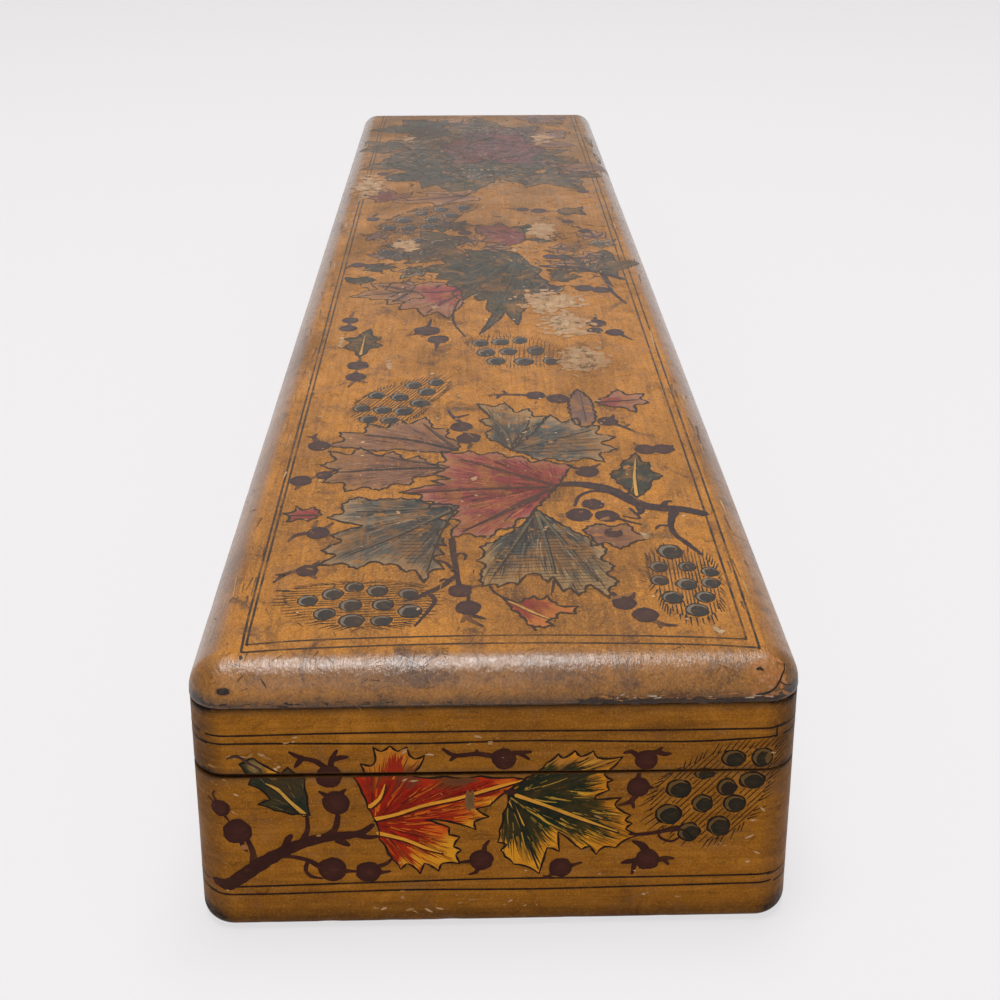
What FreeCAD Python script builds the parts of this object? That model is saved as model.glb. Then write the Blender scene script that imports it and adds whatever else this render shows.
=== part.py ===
"""A long, low keepsake box of thin boards, with a shallow lid hung on two small brass butt hinges.

The box is 352 mm long and 84 mm wide. X runs along its length, -Y is the side that opens, +Y is the
hinge side and Z is up. The origin is the middle of the underside. Lengths are in millimetres.
The four base walls are rebated into each other at the corners and round a thin floor. The four lid
rails are rebated the same way, and the top board is planted on them with its edge rolled over.
Small cut nails hold the floor and the top board.
"""

import FreeCAD, Part
import Sketcher
import os

doc = FreeCAD.newDocument("keepsake_box")
sizes = doc.addObject("Spreadsheet::Sheet", "sizes")

DRIVING_SIZES = [
    # The carcass
    ("box_length", 352.0),
    ("box_width", 84.0),
    ("corner_radius", 5.2),
    ("wall_thickness", 5.6),
    ("corner_lap", 2.8),
    ("base_height", 25.2),
    ("floor_thickness", 3.6),
    ("floor_rebate", 2.8),
    ("bottom_edge_round", 1.8),
    # The lid. Its rim is planed a little out of true, so the seam is wider along the front.
    ("seam_at_back", 0.25),
    ("seam_at_front", 0.75),
    ("rail_height", 10.9),
    ("top_thickness", 5.6),
    ("top_edge_roll", 5.2),
    ("top_overhang", 0.2),
    # The hinges
    ("hinge_centre_from_end", 70.0),
    ("hinge_length", 26.0),
    ("leaf_width", 4.4),
    ("leaf_thickness", 0.9),
    ("barrel_radius", 1.6),
    ("barrel_stand_off", 0.7),
    ("barrel_clearance", 0.2),
    ("knuckle_gap", 0.16),
    ("hinge_pin_radius", 0.7),
    ("pin_running_clearance", 0.05),
    # The hinge screws
    ("screw_from_middle", 7.5),
    ("screw_from_back", 2.2),
    ("screw_head_radius", 1.3),
    ("screw_head_depth", 0.6),
    ("screw_shank_radius", 0.65),
    ("screw_shank_length", 4.6),
    ("screw_slot_width", 0.36),
    ("screw_slot_depth", 0.3),
    # The cut nails of the floor and the top board
    ("nail_width", 0.9),
    ("nail_length", 9.0),
    ("nail_head_length", 1.9),
    ("nail_head_width", 1.2),
    ("nail_head_thickness", 0.4),
    ("nail_from_side", 2.6),
    ("nail_from_end", 2.8),
    ("side_nail_share", 0.165),
    ("side_nail_drop", 1.6),
    ("corner_nail_drop", 2.8),
    ("floor_nail_from_edge", 1.4),
    ("floor_nail_share", 0.27),
    ("floor_end_nail_share", 0.48),
    # How far a cutting tool runs past what it cuts
    ("overrun", 2.0),
]
KNUCKLES = 3

for row, (alias, value) in enumerate(DRIVING_SIZES, start=1):
    sizes.set(f"A{row}", alias)
    sizes.set(f"B{row}", str(value))
    sizes.setAlias(f"B{row}", alias)
doc.recompute()

# Places that several pieces share, as expressions on the sizes
END = "sizes.box_length / 2"
END_INSIDE = "(sizes.box_length / 2 - sizes.wall_thickness)"
SIDE = "sizes.box_width / 2"
SIDE_INSIDE = "(sizes.box_width / 2 - sizes.wall_thickness)"
LAP_LINE = "(sizes.box_width / 2 - sizes.corner_lap)"
GROUND = "0"
RIM = "sizes.base_height"
LID_RIM_AT_BACK = "(sizes.base_height + sizes.seam_at_back)"
LID_RIM_AT_FRONT = "(sizes.base_height + sizes.seam_at_front)"
TOP_UNDERSIDE = "(sizes.base_height + sizes.seam_at_back + sizes.rail_height)"
TOP_SURFACE = f"({TOP_UNDERSIDE} + sizes.top_thickness)"
HINGE_AXIS_Y = "(sizes.box_width / 2 + sizes.barrel_stand_off)"
HINGE_AXIS_Z = "(sizes.base_height + sizes.seam_at_back / 2)"

finished = []


def minus(expression):
    return f"-({expression})"


def keep(thing, label):
    """Marks an object as a finished piece of the box, under the name of its node."""
    thing.Label = label
    finished.append(thing)
    return thing


def board(name, along, across, upward):
    """A plain board between two planes on each axis, given as pairs of expressions."""
    box = doc.addObject("Part::Box", name)
    for size, place, (low, high) in (
        ("Length", "Placement.Base.x", along),
        ("Width", "Placement.Base.y", across),
        ("Height", "Placement.Base.z", upward),
    ):
        box.setExpression(size, f"({high}) - ({low})")
        box.setExpression(place, low)
    return box


def rod(name, radius, along, y_place, z_place):
    """A round bar that lies along X between two places."""
    low, high = along
    bar = doc.addObject("Part::Cylinder", name)
    bar.Placement = FreeCAD.Placement(
        FreeCAD.Vector(), FreeCAD.Rotation(FreeCAD.Vector(0, 1, 0), 90)
    )
    bar.setExpression("Radius", radius)
    bar.setExpression("Height", f"({high}) - ({low})")
    bar.setExpression("Placement.Base.x", low)
    bar.setExpression("Placement.Base.y", y_place)
    bar.setExpression("Placement.Base.z", z_place)
    return bar


def joined(name, shapes):
    union = doc.addObject("Part::MultiFuse", name)
    union.Shapes = shapes
    union.Refine = True
    return union


def together(name, shapes):
    """Separate solids that share one object, such as a set of screws."""
    group = doc.addObject("Part::Compound", name)
    group.Links = shapes
    return group


def cut_away(name, stock, tools):
    """The stock less every tool."""
    tool = tools[0]
    if len(tools) > 1:
        tool = together(name + "_tools", tools)
    result = doc.addObject("Part::Cut", name)
    result.Base = stock
    result.Tool = tool
    return result


def shared(name, stock, limits):
    """What lies in both shapes."""
    result = doc.addObject("Part::Common", name)
    result.Base = stock
    result.Tool = limits
    return result


def origin_plane(body, role):
    return next(f for f in body.Origin.OriginFeatures if f.Role == role)


def rectangle_sketch(body, name, length, width, height):
    """A rectangle round the middle of the plan, at a height, with its sides held by named constraints."""
    sketch = body.newObject("Sketcher::SketchObject", name)
    sketch.AttachmentSupport = [(origin_plane(body, "XY_Plane"), "")]
    sketch.MapMode = "FlatFace"
    sketch.setExpression("AttachmentOffset.Base.z", height)
    half_length = sizes.box_length / 2
    half_width = sizes.box_width / 2
    corners = [
        FreeCAD.Vector(-half_length, -half_width, 0),
        FreeCAD.Vector(half_length, -half_width, 0),
        FreeCAD.Vector(half_length, half_width, 0),
        FreeCAD.Vector(-half_length, half_width, 0),
    ]
    sides = [Part.LineSegment(corners[i], corners[(i + 1) % 4]) for i in range(4)]
    sketch.addGeometry(sides)
    for side in range(4):
        sketch.addConstraint(Sketcher.Constraint("Coincident", side, 2, (side + 1) % 4, 1))
    for side in (0, 2):
        sketch.addConstraint(Sketcher.Constraint("Horizontal", side))
    for side in (1, 3):
        sketch.addConstraint(Sketcher.Constraint("Vertical", side))
    sketch.addConstraint(Sketcher.Constraint("Symmetric", 0, 1, 1, 2, -1, 1))
    for side, kind, label, start, size in (
        (0, "DistanceX", "length", 2 * half_length, length),
        (1, "DistanceY", "width", 2 * half_width, width),
    ):
        index = sketch.addConstraint(Sketcher.Constraint(kind, side, 1, side, 2, start))
        sketch.renameConstraint(index, label)
        sketch.setExpression(f"Constraints.{label}", size)
    return sketch


def pad(body, sketch, name, thickness):
    made = body.newObject("PartDesign::Pad", name)
    made.Profile = sketch
    made.setExpression("Length", thickness)
    sketch.Visibility = False
    doc.recompute()
    return made


def edges_that(feature, test):
    return [f"Edge{n}" for n, edge in enumerate(feature.Shape.Edges, start=1) if test(edge)]


def upright(edge):
    low = edge.BoundBox
    return low.ZLength > low.XLength + low.YLength


def level_at(height):
    tolerance = sizes.overrun / 1000
    return lambda edge: (
        abs(edge.BoundBox.ZMin - height) < tolerance and abs(edge.BoundBox.ZMax - height) < tolerance
    )


def rounded(body, feature, name, edges, radius):
    fillet = body.newObject("PartDesign::Fillet", name)
    fillet.Base = (feature, edges)
    fillet.setExpression("Radius", radius)
    doc.recompute()
    return fillet


# The base

base_outline = doc.addObject("PartDesign::Body", "base_outline")
outline_sketch = rectangle_sketch(
    base_outline, "base_plan", "sizes.box_length", "sizes.box_width", GROUND
)
stock = pad(base_outline, outline_sketch, "base_block", RIM)
stock = rounded(base_outline, stock, "base_corners", edges_that(stock, upright), "sizes.corner_radius")
rounded(
    base_outline, stock, "base_bottom_edge", edges_that(stock, level_at(0)), "sizes.bottom_edge_round"
)

FLOOR_END = "(sizes.box_length / 2 - sizes.wall_thickness + sizes.floor_rebate)"
FLOOR_SIDE = "(sizes.box_width / 2 - sizes.wall_thickness + sizes.floor_rebate)"
floor_body = doc.addObject("PartDesign::Body", "floor_body")
floor_sketch = rectangle_sketch(
    floor_body, "floor_plan", f"2 * {FLOOR_END}", f"2 * {FLOOR_SIDE}", GROUND
)
pad(floor_body, floor_sketch, "floor_board", "sizes.floor_thickness")


def corner_rebates(name, upward):
    """The four notches, one at each corner, that take the ends of the end boards."""
    tools = []
    for end, end_sign in (("left", -1), ("right", 1)):
        for side, side_sign in (("front", -1), ("back", 1)):
            past_end = "sizes.box_length / 2 + sizes.overrun"
            past_inside = "sizes.box_width / 2 - sizes.wall_thickness - sizes.overrun"
            along = (END_INSIDE, past_end)
            if end_sign < 0:
                along = (minus(past_end), minus(END_INSIDE))
            across = (past_inside, LAP_LINE)
            if side_sign < 0:
                across = (minus(LAP_LINE), minus(past_inside))
            tools.append(board(f"{name}_rebate_{end}_{side}", along, across, upward))
    return tools


def frame_of_boards(name, limits, upward, recesses, back_recesses):
    """Two long boards and two end boards that make one rim, as objects by side."""
    notches = corner_rebates(name, upward)
    made = {}
    for side, sign in (("front", -1), ("back", 1)):
        across = (SIDE_INSIDE, SIDE) if sign > 0 else (minus(SIDE), minus(SIDE_INSIDE))
        plank = board(f"{name}_{side}_plank", (minus(END), END), across, upward)
        shaped = shared(f"{name}_{side}_shaped", plank, limits)
        own = [tool for tool in notches if tool.Name.endswith(side)]
        more = back_recesses if sign > 0 else []
        made[side] = cut_away(f"{name}_{side}", shaped, own + recesses + more)
    for side, sign in (("left", -1), ("right", 1)):
        along = (END_INSIDE, END) if sign > 0 else (minus(END), minus(END_INSIDE))
        plank = board(f"{name}_{side}_plank", along, (minus(LAP_LINE), LAP_LINE), upward)
        made[side] = shared(f"{name}_{side}_shaped", plank, limits)
        if recesses:
            made[side] = cut_away(f"{name}_{side}", made[side], recesses)
    return made


# The hinges. Each has a base leaf with the odd knuckles, a lid leaf with the even ones, and a pin.

KNUCKLE_PITCH = f"(sizes.hinge_length / {KNUCKLES})"
LEAF_FRONT = "(sizes.box_width / 2 - sizes.leaf_width)"
SCREW_Y = "(sizes.box_width / 2 - sizes.screw_from_back)"


def screw(name, x_place, face, sign):
    """One countersunk wood screw. Sign is -1 when it is driven down and 1 when it is driven up."""
    neck = f"({face} + {sign} * sizes.screw_head_depth)"
    tip = f"({neck} + {sign} * sizes.screw_shank_length)"
    wide, narrow = "sizes.screw_head_radius", "sizes.screw_shank_radius"
    head = doc.addObject("Part::Cone", f"{name}_head")
    head.setExpression("Radius1", wide if sign > 0 else narrow)
    head.setExpression("Radius2", narrow if sign > 0 else wide)
    head.setExpression("Height", "sizes.screw_head_depth")
    head.setExpression("Placement.Base.z", face if sign > 0 else neck)
    shank = doc.addObject("Part::Cylinder", f"{name}_shank")
    shank.setExpression("Radius", narrow)
    shank.setExpression("Height", "sizes.screw_shank_length")
    shank.setExpression("Placement.Base.z", neck if sign > 0 else tip)
    for solid in (head, shank):
        solid.setExpression("Placement.Base.x", x_place)
        solid.setExpression("Placement.Base.y", SCREW_Y)
    whole = joined(f"{name}_whole", [head, shank])
    slot_end = f"{face} + {sign} * sizes.screw_slot_depth"
    slot_start = f"{face} - {sign} * sizes.screw_slot_depth"
    slot = board(
        f"{name}_slot",
        (f"{x_place} - sizes.screw_slot_width / 2", f"{x_place} + sizes.screw_slot_width / 2"),
        (f"{SCREW_Y} - sizes.screw_head_radius", f"{SCREW_Y} + sizes.screw_head_radius"),
        (slot_start, slot_end) if sign > 0 else (slot_end, slot_start),
    )
    return whole, cut_away(f"{name}_slotted", whole, [slot])


def leaf(name, centre, face, sign, own_knuckles, bore, screws):
    """One leaf: a plate let into the rim, its knuckles, the bore through them and its screw holes."""
    left = f"({centre} - sizes.hinge_length / 2)"
    right = f"({centre} + sizes.hinge_length / 2)"
    buried = f"{face} + {sign} * sizes.leaf_thickness"
    plate = board(
        f"{name}_plate",
        (left, right),
        (LEAF_FRONT, HINGE_AXIS_Y),
        (face, buried) if sign > 0 else (buried, face),
    )
    knuckles, spaces = [], []
    for place in range(KNUCKLES):
        start = f"{left} + {place} * {KNUCKLE_PITCH}"
        stop = f"{left} + {place + 1} * {KNUCKLE_PITCH}"
        if place in own_knuckles:
            own_start = start if place == 0 else f"{start} + sizes.knuckle_gap / 2"
            own_stop = stop if place == KNUCKLES - 1 else f"{stop} - sizes.knuckle_gap / 2"
            span = (own_start, own_stop)
            knuckles.append(
                rod(f"{name}_knuckle_{place}", "sizes.barrel_radius", span, HINGE_AXIS_Y, HINGE_AXIS_Z)
            )
            continue
        room_start = f"{start} - sizes.knuckle_gap / 2"
        room_stop = f"{stop} + sizes.knuckle_gap / 2"
        if place == 0:
            room_start = f"{start} - sizes.overrun"
        if place == KNUCKLES - 1:
            room_stop = f"{stop} + sizes.overrun"
        notch_depth = (
            f"{HINGE_AXIS_Y} - sizes.barrel_radius - sizes.barrel_clearance",
            f"{HINGE_AXIS_Y} + sizes.overrun",
        )
        notch_height = (f"{face} - sizes.overrun", f"{face} + sizes.overrun")
        spaces.append(
            board(f"{name}_notch_{place}", (room_start, room_stop), notch_depth, notch_height)
        )
    hole = rod(
        f"{name}_bore",
        bore,
        (f"{left} - sizes.overrun", f"{right} + sizes.overrun"),
        HINGE_AXIS_Y,
        HINGE_AXIS_Z,
    )
    trimmed = cut_away(f"{name}_trimmed", plate, spaces)
    solid = joined(f"{name}_solid", [trimmed] + knuckles)
    return plate, cut_away(f"{name}_leaf", solid, [hole] + screws)


BASE_KNUCKLES = range(0, KNUCKLES, 2)
LID_KNUCKLES = range(1, KNUCKLES, 2)
base_back_recesses, lid_back_recesses = [], []
base_screws, lid_screws = [], []

for hand, hinge_sign in (("left", -1), ("right", 1)):
    centre = f"({hinge_sign} * (sizes.box_length / 2 - sizes.hinge_centre_from_end))"
    left = f"({centre} - sizes.hinge_length / 2)"
    right = f"({centre} + sizes.hinge_length / 2)"
    barrel_room = rod(
        f"{hand}_barrel_room",
        "sizes.barrel_radius + sizes.barrel_clearance",
        (f"{left} - sizes.barrel_clearance", f"{right} + sizes.barrel_clearance"),
        HINGE_AXIS_Y,
        HINGE_AXIS_Z,
    )
    running_bore = "sizes.hinge_pin_radius + sizes.pin_running_clearance"
    for owner, face, sign, own_knuckles, bore, recesses, screws in (
        ("base", RIM, -1, BASE_KNUCKLES, "sizes.hinge_pin_radius", base_back_recesses, base_screws),
        ("lid", LID_RIM_AT_BACK, 1, LID_KNUCKLES, running_bore, lid_back_recesses, lid_screws),
    ):
        stem = f"{hand}_hinge_{owner}"
        wholes = []
        for number, place in enumerate((-1, 1), start=1):
            x_place = f"({centre} + {place} * sizes.screw_from_middle)"
            whole, made = screw(f"{stem}_screw_{number}", x_place, face, sign)
            wholes.append(whole)
            screws.append(made)
        plate, made_leaf = leaf(stem, centre, face, sign, own_knuckles, bore, wholes)
        keep(made_leaf, f"{stem}_leaf")
        recesses += [barrel_room, plate] + wholes
    pin = rod(f"{hand}_pin", "sizes.hinge_pin_radius", (left, right), HINGE_AXIS_Y, HINGE_AXIS_Z)
    keep(pin, f"{hand}_hinge_pin")

keep(together("base_screw_set", base_screws), "hinge_base_screws")
keep(together("lid_screw_set", lid_screws), "hinge_lid_screws")

# The nails. The floor's are driven up into the walls and the top board's down into the rails.

FLOOR_NAIL_ENDS = f"({FLOOR_END} - sizes.floor_nail_from_edge)"
FLOOR_NAIL_SIDES = f"({FLOOR_SIDE} - sizes.floor_nail_from_edge)"
TOP_NAIL_ENDS = "(sizes.box_length / 2 - sizes.nail_from_end)"
TOP_NAIL_SIDES = "(sizes.box_width / 2 - sizes.nail_from_side)"


def square_peg(name, x_place, y_place, length, width, upward):
    return board(
        name,
        (f"{x_place} - {length} / 2", f"{x_place} + {length} / 2"),
        (f"{y_place} - {width} / 2", f"{y_place} + {width} / 2"),
        upward,
    )


def nail(name, x_place, y_place, face, sign):
    """One cut nail with a square shank. Sign is -1 when it is driven down and 1 when driven up."""
    neck = f"({face} + {sign} * sizes.nail_head_thickness)"
    tip = f"({face} + {sign} * sizes.nail_length)"
    head_span = (face, neck) if sign > 0 else (neck, face)
    shank_span = (neck, tip) if sign > 0 else (tip, neck)
    long, wide, narrow = "sizes.nail_head_length", "sizes.nail_head_width", "sizes.nail_width"
    head = square_peg(f"{name}_head", x_place, y_place, long, wide, head_span)
    shank = square_peg(f"{name}_shank", x_place, y_place, narrow, narrow, shank_span)
    return joined(f"{name}_whole", [head, shank])


floor_nails = []
for side_sign in (-1, 1):
    side_y = f"{side_sign} * {FLOOR_NAIL_SIDES}"
    spacing = "sizes.floor_nail_share * sizes.box_length"
    places = [(f"{place} * {spacing}", side_y) for place in (-1.5, -0.5, 0.5, 1.5)]
    end_x = f"{side_sign} * {FLOOR_NAIL_ENDS}"
    end_spacing = "sizes.floor_end_nail_share * sizes.box_width"
    places += [(end_x, f"{place} * {end_spacing} / 2") for place in (-1, 1)]
    for x_place, y_place in places:
        stem = f"floor_nail_{len(floor_nails) + 1}"
        floor_nails.append(nail(stem, f"({x_place})", f"({y_place})", GROUND, 1))
keep(together("floor_nail_set", floor_nails), "base_floor_nails")

top_nails, nail_head_rooms = [], []
for side_sign in (-1, 1):
    for place in (-1, 1, -2, 2):
        x_place, drop = f"({place} * sizes.side_nail_share * sizes.box_length)", "sizes.side_nail_drop"
        if abs(place) == 2:
            x_place, drop = f"({place} * {TOP_NAIL_ENDS} / 2)", "sizes.corner_nail_drop"
        y_place = f"({side_sign} * {TOP_NAIL_SIDES})"
        head_top = f"({TOP_SURFACE} - {drop})"
        stem = f"top_nail_{len(top_nails) + 1}"
        top_nails.append(nail(stem, x_place, y_place, head_top, -1))
        nail_head_rooms.append(
            square_peg(
                f"{stem}_room",
                x_place,
                y_place,
                "sizes.nail_head_length",
                "sizes.nail_head_width",
                (head_top, f"{TOP_SURFACE} + sizes.overrun"),
            )
        )
keep(together("top_nail_set", top_nails), "lid_top_nails")

# The base walls

floor_recess = board(
    "floor_recess",
    (minus(FLOOR_END), FLOOR_END),
    (minus(FLOOR_SIDE), FLOOR_SIDE),
    (GROUND, "sizes.floor_thickness"),
)
keep(cut_away("nailed_floor", floor_body, floor_nails), "base_floor")
base_walls = frame_of_boards(
    "base", base_outline, (GROUND, RIM), [floor_recess] + floor_nails, base_back_recesses
)
for side, wall in base_walls.items():
    kind = "end_wall" if side in ("left", "right") else "wall"
    keep(wall, f"base_{side}_{kind}")

# The lid

lid_outline = doc.addObject("PartDesign::Body", "lid_outline")
lid_sketch = rectangle_sketch(lid_outline, "lid_plan", "sizes.box_length", "sizes.box_width", RIM)
stock = pad(lid_outline, lid_sketch, "lid_block", f"{TOP_UNDERSIDE} - {RIM}")
rounded(lid_outline, stock, "lid_corners", edges_that(stock, upright), "sizes.corner_radius")

seam_wedge = doc.addObject("Part::Wedge", "seam_wedge")
for corner, place in (
    ("Xmin", minus(f"{END} + sizes.overrun")),
    ("Xmax", f"{END} + sizes.overrun"),
    ("X2min", minus(f"{END} + sizes.overrun")),
    ("X2max", f"{END} + sizes.overrun"),
    ("Ymin", minus(SIDE)),
    ("Ymax", SIDE),
    ("Zmin", f"{RIM} - sizes.overrun"),
    ("Z2min", f"{RIM} - sizes.overrun"),
    ("Zmax", LID_RIM_AT_FRONT),
    ("Z2max", LID_RIM_AT_BACK),
):
    seam_wedge.setExpression(corner, place)
planed_outline = cut_away("planed_outline", lid_outline, [seam_wedge])
lid_rails = frame_of_boards("lid", planed_outline, (RIM, TOP_UNDERSIDE), top_nails, lid_back_recesses)
for side, rail in lid_rails.items():
    kind = "end_rail" if side in ("left", "right") else "rail"
    keep(rail, f"lid_{side}_{kind}")

TOP_ROLL = "min(sizes.top_edge_roll; sizes.corner_radius)"
top_body = doc.addObject("PartDesign::Body", "top_body")
top_sketch = rectangle_sketch(
    top_body,
    "top_plan",
    "sizes.box_length + 2 * sizes.top_overhang",
    "sizes.box_width + 2 * sizes.top_overhang",
    f"{TOP_SURFACE} - {TOP_ROLL} - sizes.overrun",
)
stock = pad(top_body, top_sketch, "top_block", f"{TOP_ROLL} + sizes.overrun")
stock = rounded(
    top_body,
    stock,
    "top_corners",
    edges_that(stock, upright),
    "sizes.corner_radius + sizes.top_overhang",
)
top_height = sizes.base_height + sizes.seam_at_back + sizes.rail_height + sizes.top_thickness
rounded(top_body, stock, "top_roll", edges_that(stock, level_at(top_height)), TOP_ROLL)
top_slab = board(
    "top_slab",
    (minus(f"{END} + sizes.overrun"), f"{END} + sizes.overrun"),
    (minus(f"{SIDE} + sizes.overrun"), f"{SIDE} + sizes.overrun"),
    (TOP_UNDERSIDE, TOP_SURFACE),
)
rolled_top = shared("rolled_top", top_slab, top_body)
keep(cut_away("nailed_top", rolled_top, top_nails + nail_head_rooms), "lid_top_board")
doc.recompute()

# Nothing is written unless every object and every piece is sound

for thing in doc.Objects:
    if any(word in thing.State for word in ("Invalid", "Error")):
        raise RuntimeError(f"{thing.Label} failed: {thing.State}")
for piece in finished:
    if piece.Shape.isNull() or not piece.Shape.isValid() or not piece.Shape.Solids:
        raise RuntimeError(f"{piece.Label} has no sound shape")

os.makedirs("parts", exist_ok=True)
for piece in finished:
    piece.Shape.exportStep(os.path.join("parts", piece.Label + ".step"))
    box = piece.Shape.BoundBox
    print(
        f"{piece.Label}: {len(piece.Shape.Solids)} solid(s), {piece.Shape.Volume:.1f} mm3, "
        f"x {box.XMin:.2f}..{box.XMax:.2f}, y {box.YMin:.2f}..{box.YMax:.2f}, "
        f"z {box.ZMin:.2f}..{box.ZMax:.2f}"
    )
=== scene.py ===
import math
import random

import bmesh
import bpy
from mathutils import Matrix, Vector, noise
from mathutils.geometry import delaunay_2d_cdt


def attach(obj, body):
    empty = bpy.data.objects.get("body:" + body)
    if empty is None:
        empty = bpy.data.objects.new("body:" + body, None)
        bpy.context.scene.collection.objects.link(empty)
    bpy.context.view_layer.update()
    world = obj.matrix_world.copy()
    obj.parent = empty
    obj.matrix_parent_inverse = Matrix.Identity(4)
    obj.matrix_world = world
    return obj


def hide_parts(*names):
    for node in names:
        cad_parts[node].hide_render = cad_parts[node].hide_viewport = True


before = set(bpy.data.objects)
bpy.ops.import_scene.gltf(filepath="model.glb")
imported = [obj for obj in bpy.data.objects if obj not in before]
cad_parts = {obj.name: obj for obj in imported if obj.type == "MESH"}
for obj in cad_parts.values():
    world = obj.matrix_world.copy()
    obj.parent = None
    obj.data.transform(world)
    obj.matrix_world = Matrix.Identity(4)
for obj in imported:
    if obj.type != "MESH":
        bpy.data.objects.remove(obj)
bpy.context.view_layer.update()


# Where the photographer stood: a little above one short end of the box and close to it, so that the
# near end is seen almost square and the long top runs away from the eye.
eye = bpy.data.cameras.new("eye")
eye.lens = 50.17
eye.sensor_width = 36.0
eye.shift_y = -0.28
eye.clip_start = 0.01
eye.clip_end = 40.0
stand = bpy.data.objects.new("eye", eye)
bpy.context.scene.collection.objects.link(stand)
bpy.context.scene.camera = stand
down = math.radians(16.588)
turn = math.radians(1.312)
stand.location = (0.33767, -0.00310, 0.15279)
glance = Vector((-math.cos(turn) * math.cos(down), math.sin(turn) * math.cos(down), -math.sin(down)))
stand.rotation_euler = glance.to_track_quat("-Z", "Y").to_euler()


# The four walls of the base: thin boards of a pale, close-grained wood, gone brown with age, glued
# and rebated at the corners. Only their inside, rims and underside are bare; the outside is painted.
def pigment(red, green, blue):
    """A colour mixed on the 0 to 255 scale, as the shaders want it."""
    def linear(part):
        part = part / 255.0
        return part / 12.92 if part <= 0.04045 else ((part + 0.055) / 1.055) ** 2.4
    return (linear(red), linear(green), linear(blue), 1.0)


def step(recipe, kind, feeds, **settings):
    """One step of a finish: a shader node, its settings, and what goes into its sockets."""
    made = recipe.nodes.new(kind)
    for name, value in settings.items():
        setattr(made, name, value)
    for socket, value in feeds.items():
        if isinstance(value, bpy.types.NodeSocket):
            recipe.links.new(value, made.inputs[socket])
        else:
            made.inputs[socket].default_value = value
    return made


def new_finish(name):
    """An empty material, and the place on the object in millimetres that its finish is worked out from."""
    finish = bpy.data.materials.new(name)
    finish.use_nodes = True
    recipe = finish.node_tree
    recipe.nodes.clear()
    place = step(recipe, "ShaderNodeTexCoord", {}).outputs["Object"]
    return finish, recipe, scaled(recipe, place, (1000, 1000, 1000))


def scaled(recipe, place, factors):
    """A place with its x, y and z each multiplied."""
    return step(recipe, "ShaderNodeVectorMath", {0: place, 1: factors}, operation="MULTIPLY").outputs[0]


def mottle(recipe, place, run, detail, rough, warp=0.0):
    """Cloudy variation from 0 to 1. run is how far, in mm, it stays alike along x, y and z."""
    spread = scaled(recipe, place, tuple(1.0 / part for part in run))
    feeds = {"Vector": spread, "Scale": 1.0, "Detail": detail, "Roughness": rough, "Distortion": warp}
    return step(recipe, "ShaderNodeTexNoise", feeds).outputs["Fac"]


def where_over(recipe, amount, low, high, least=0.0, most=1.0):
    """Turns a variation into a mask that rises between two of its levels."""
    feeds = {"Value": amount, "From Min": low, "From Max": high, "To Min": least, "To Max": most}
    return step(recipe, "ShaderNodeMapRange", feeds, interpolation_type="SMOOTHSTEP").outputs["Result"]


def both(recipe, first, second, how="MULTIPLY"):
    """Two masks worked into one."""
    return step(recipe, "ShaderNodeMath", {0: first, 1: second}, operation=how, use_clamp=True).outputs[0]


def glaze(recipe, mask, under, over):
    """Lays one colour over another where the mask says."""
    laid = step(recipe, "ShaderNodeMix", {"Factor": mask}, data_type="RGBA")
    for socket, colour in ((laid.inputs[6], under), (laid.inputs[7], over)):
        if isinstance(colour, bpy.types.NodeSocket):
            recipe.links.new(colour, socket)
        else:
            socket.default_value = colour
    return laid.outputs[2]


def tint_where(recipe, colour, amount, low, high, share, tint):
    """Tints a colour, up to the given share, where a variation rises between two of its levels."""
    return glaze(recipe, where_over(recipe, amount, low, high, 0.0, share), colour, tint)


def relief(recipe, height, depth, strength=1.0, over=None):
    """A rise and fall of the surface, depth mm from lowest to highest."""
    feeds = {"Height": height, "Distance": depth / 1000.0, "Strength": strength}
    if over is not None:
        feeds["Normal"] = over
    return step(recipe, "ShaderNodeBump", feeds).outputs["Normal"]


def finish_off(recipe, feeds):
    """The last step: the surface itself."""
    surface = step(recipe, "ShaderNodeBsdfPrincipled", feeds)
    step(recipe, "ShaderNodeOutputMaterial", {"Surface": surface.outputs[0]})


def bare_wood(name, along, pale, deep):
    """Unpainted board: grain and pores along one axis, with stains and a hundred years of grime."""
    finish, recipe, place = new_finish(name)
    long_run = {"x": (60, 1.6, 1.6), "y": (1.6, 60, 1.6)}[along]
    pore_run = {"x": (7, 0.22, 0.22), "y": (0.22, 7, 0.22)}[along]
    bands = mottle(recipe, place, long_run, 5.0, 0.6, 0.6)
    pores = mottle(recipe, place, pore_run, 2.0, 0.5)
    stains = mottle(recipe, place, (38, 30, 30), 5.0, 0.62, 0.4)
    colour = tint_where(recipe, pale, bands, 0.3, 0.72, 1.0, deep)
    colour = tint_where(recipe, colour, pores, 0.6, 0.78, 0.55, pigment(58, 36, 18))
    colour = tint_where(recipe, colour, stains, 0.5, 0.8, 0.45, pigment(84, 54, 28))
    bump = relief(recipe, both(recipe, bands, pores, "ADD"), 0.06, 0.7)
    worn = where_over(recipe, stains, 0.3, 0.7, 0.62, 0.8)
    finish_off(recipe, {"Base Color": colour, "Roughness": worn, "Normal": bump})
    return finish


def dress(finish, *nodes):
    """Gives the frame's own solids their finish."""
    for node in nodes:
        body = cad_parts[node]
        body.data.materials.clear()
        body.data.materials.append(finish)


wood_lengthwise = bare_wood("bare_wood_lengthwise", "x", pigment(150, 106, 62), pigment(112, 74, 40))
wood_crosswise = bare_wood("bare_wood_crosswise", "y", pigment(146, 102, 60), pigment(104, 68, 38))
dress(wood_lengthwise, "base_front_wall", "base_back_wall")
dress(wood_crosswise, "base_left_end_wall", "base_right_end_wall")


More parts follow.
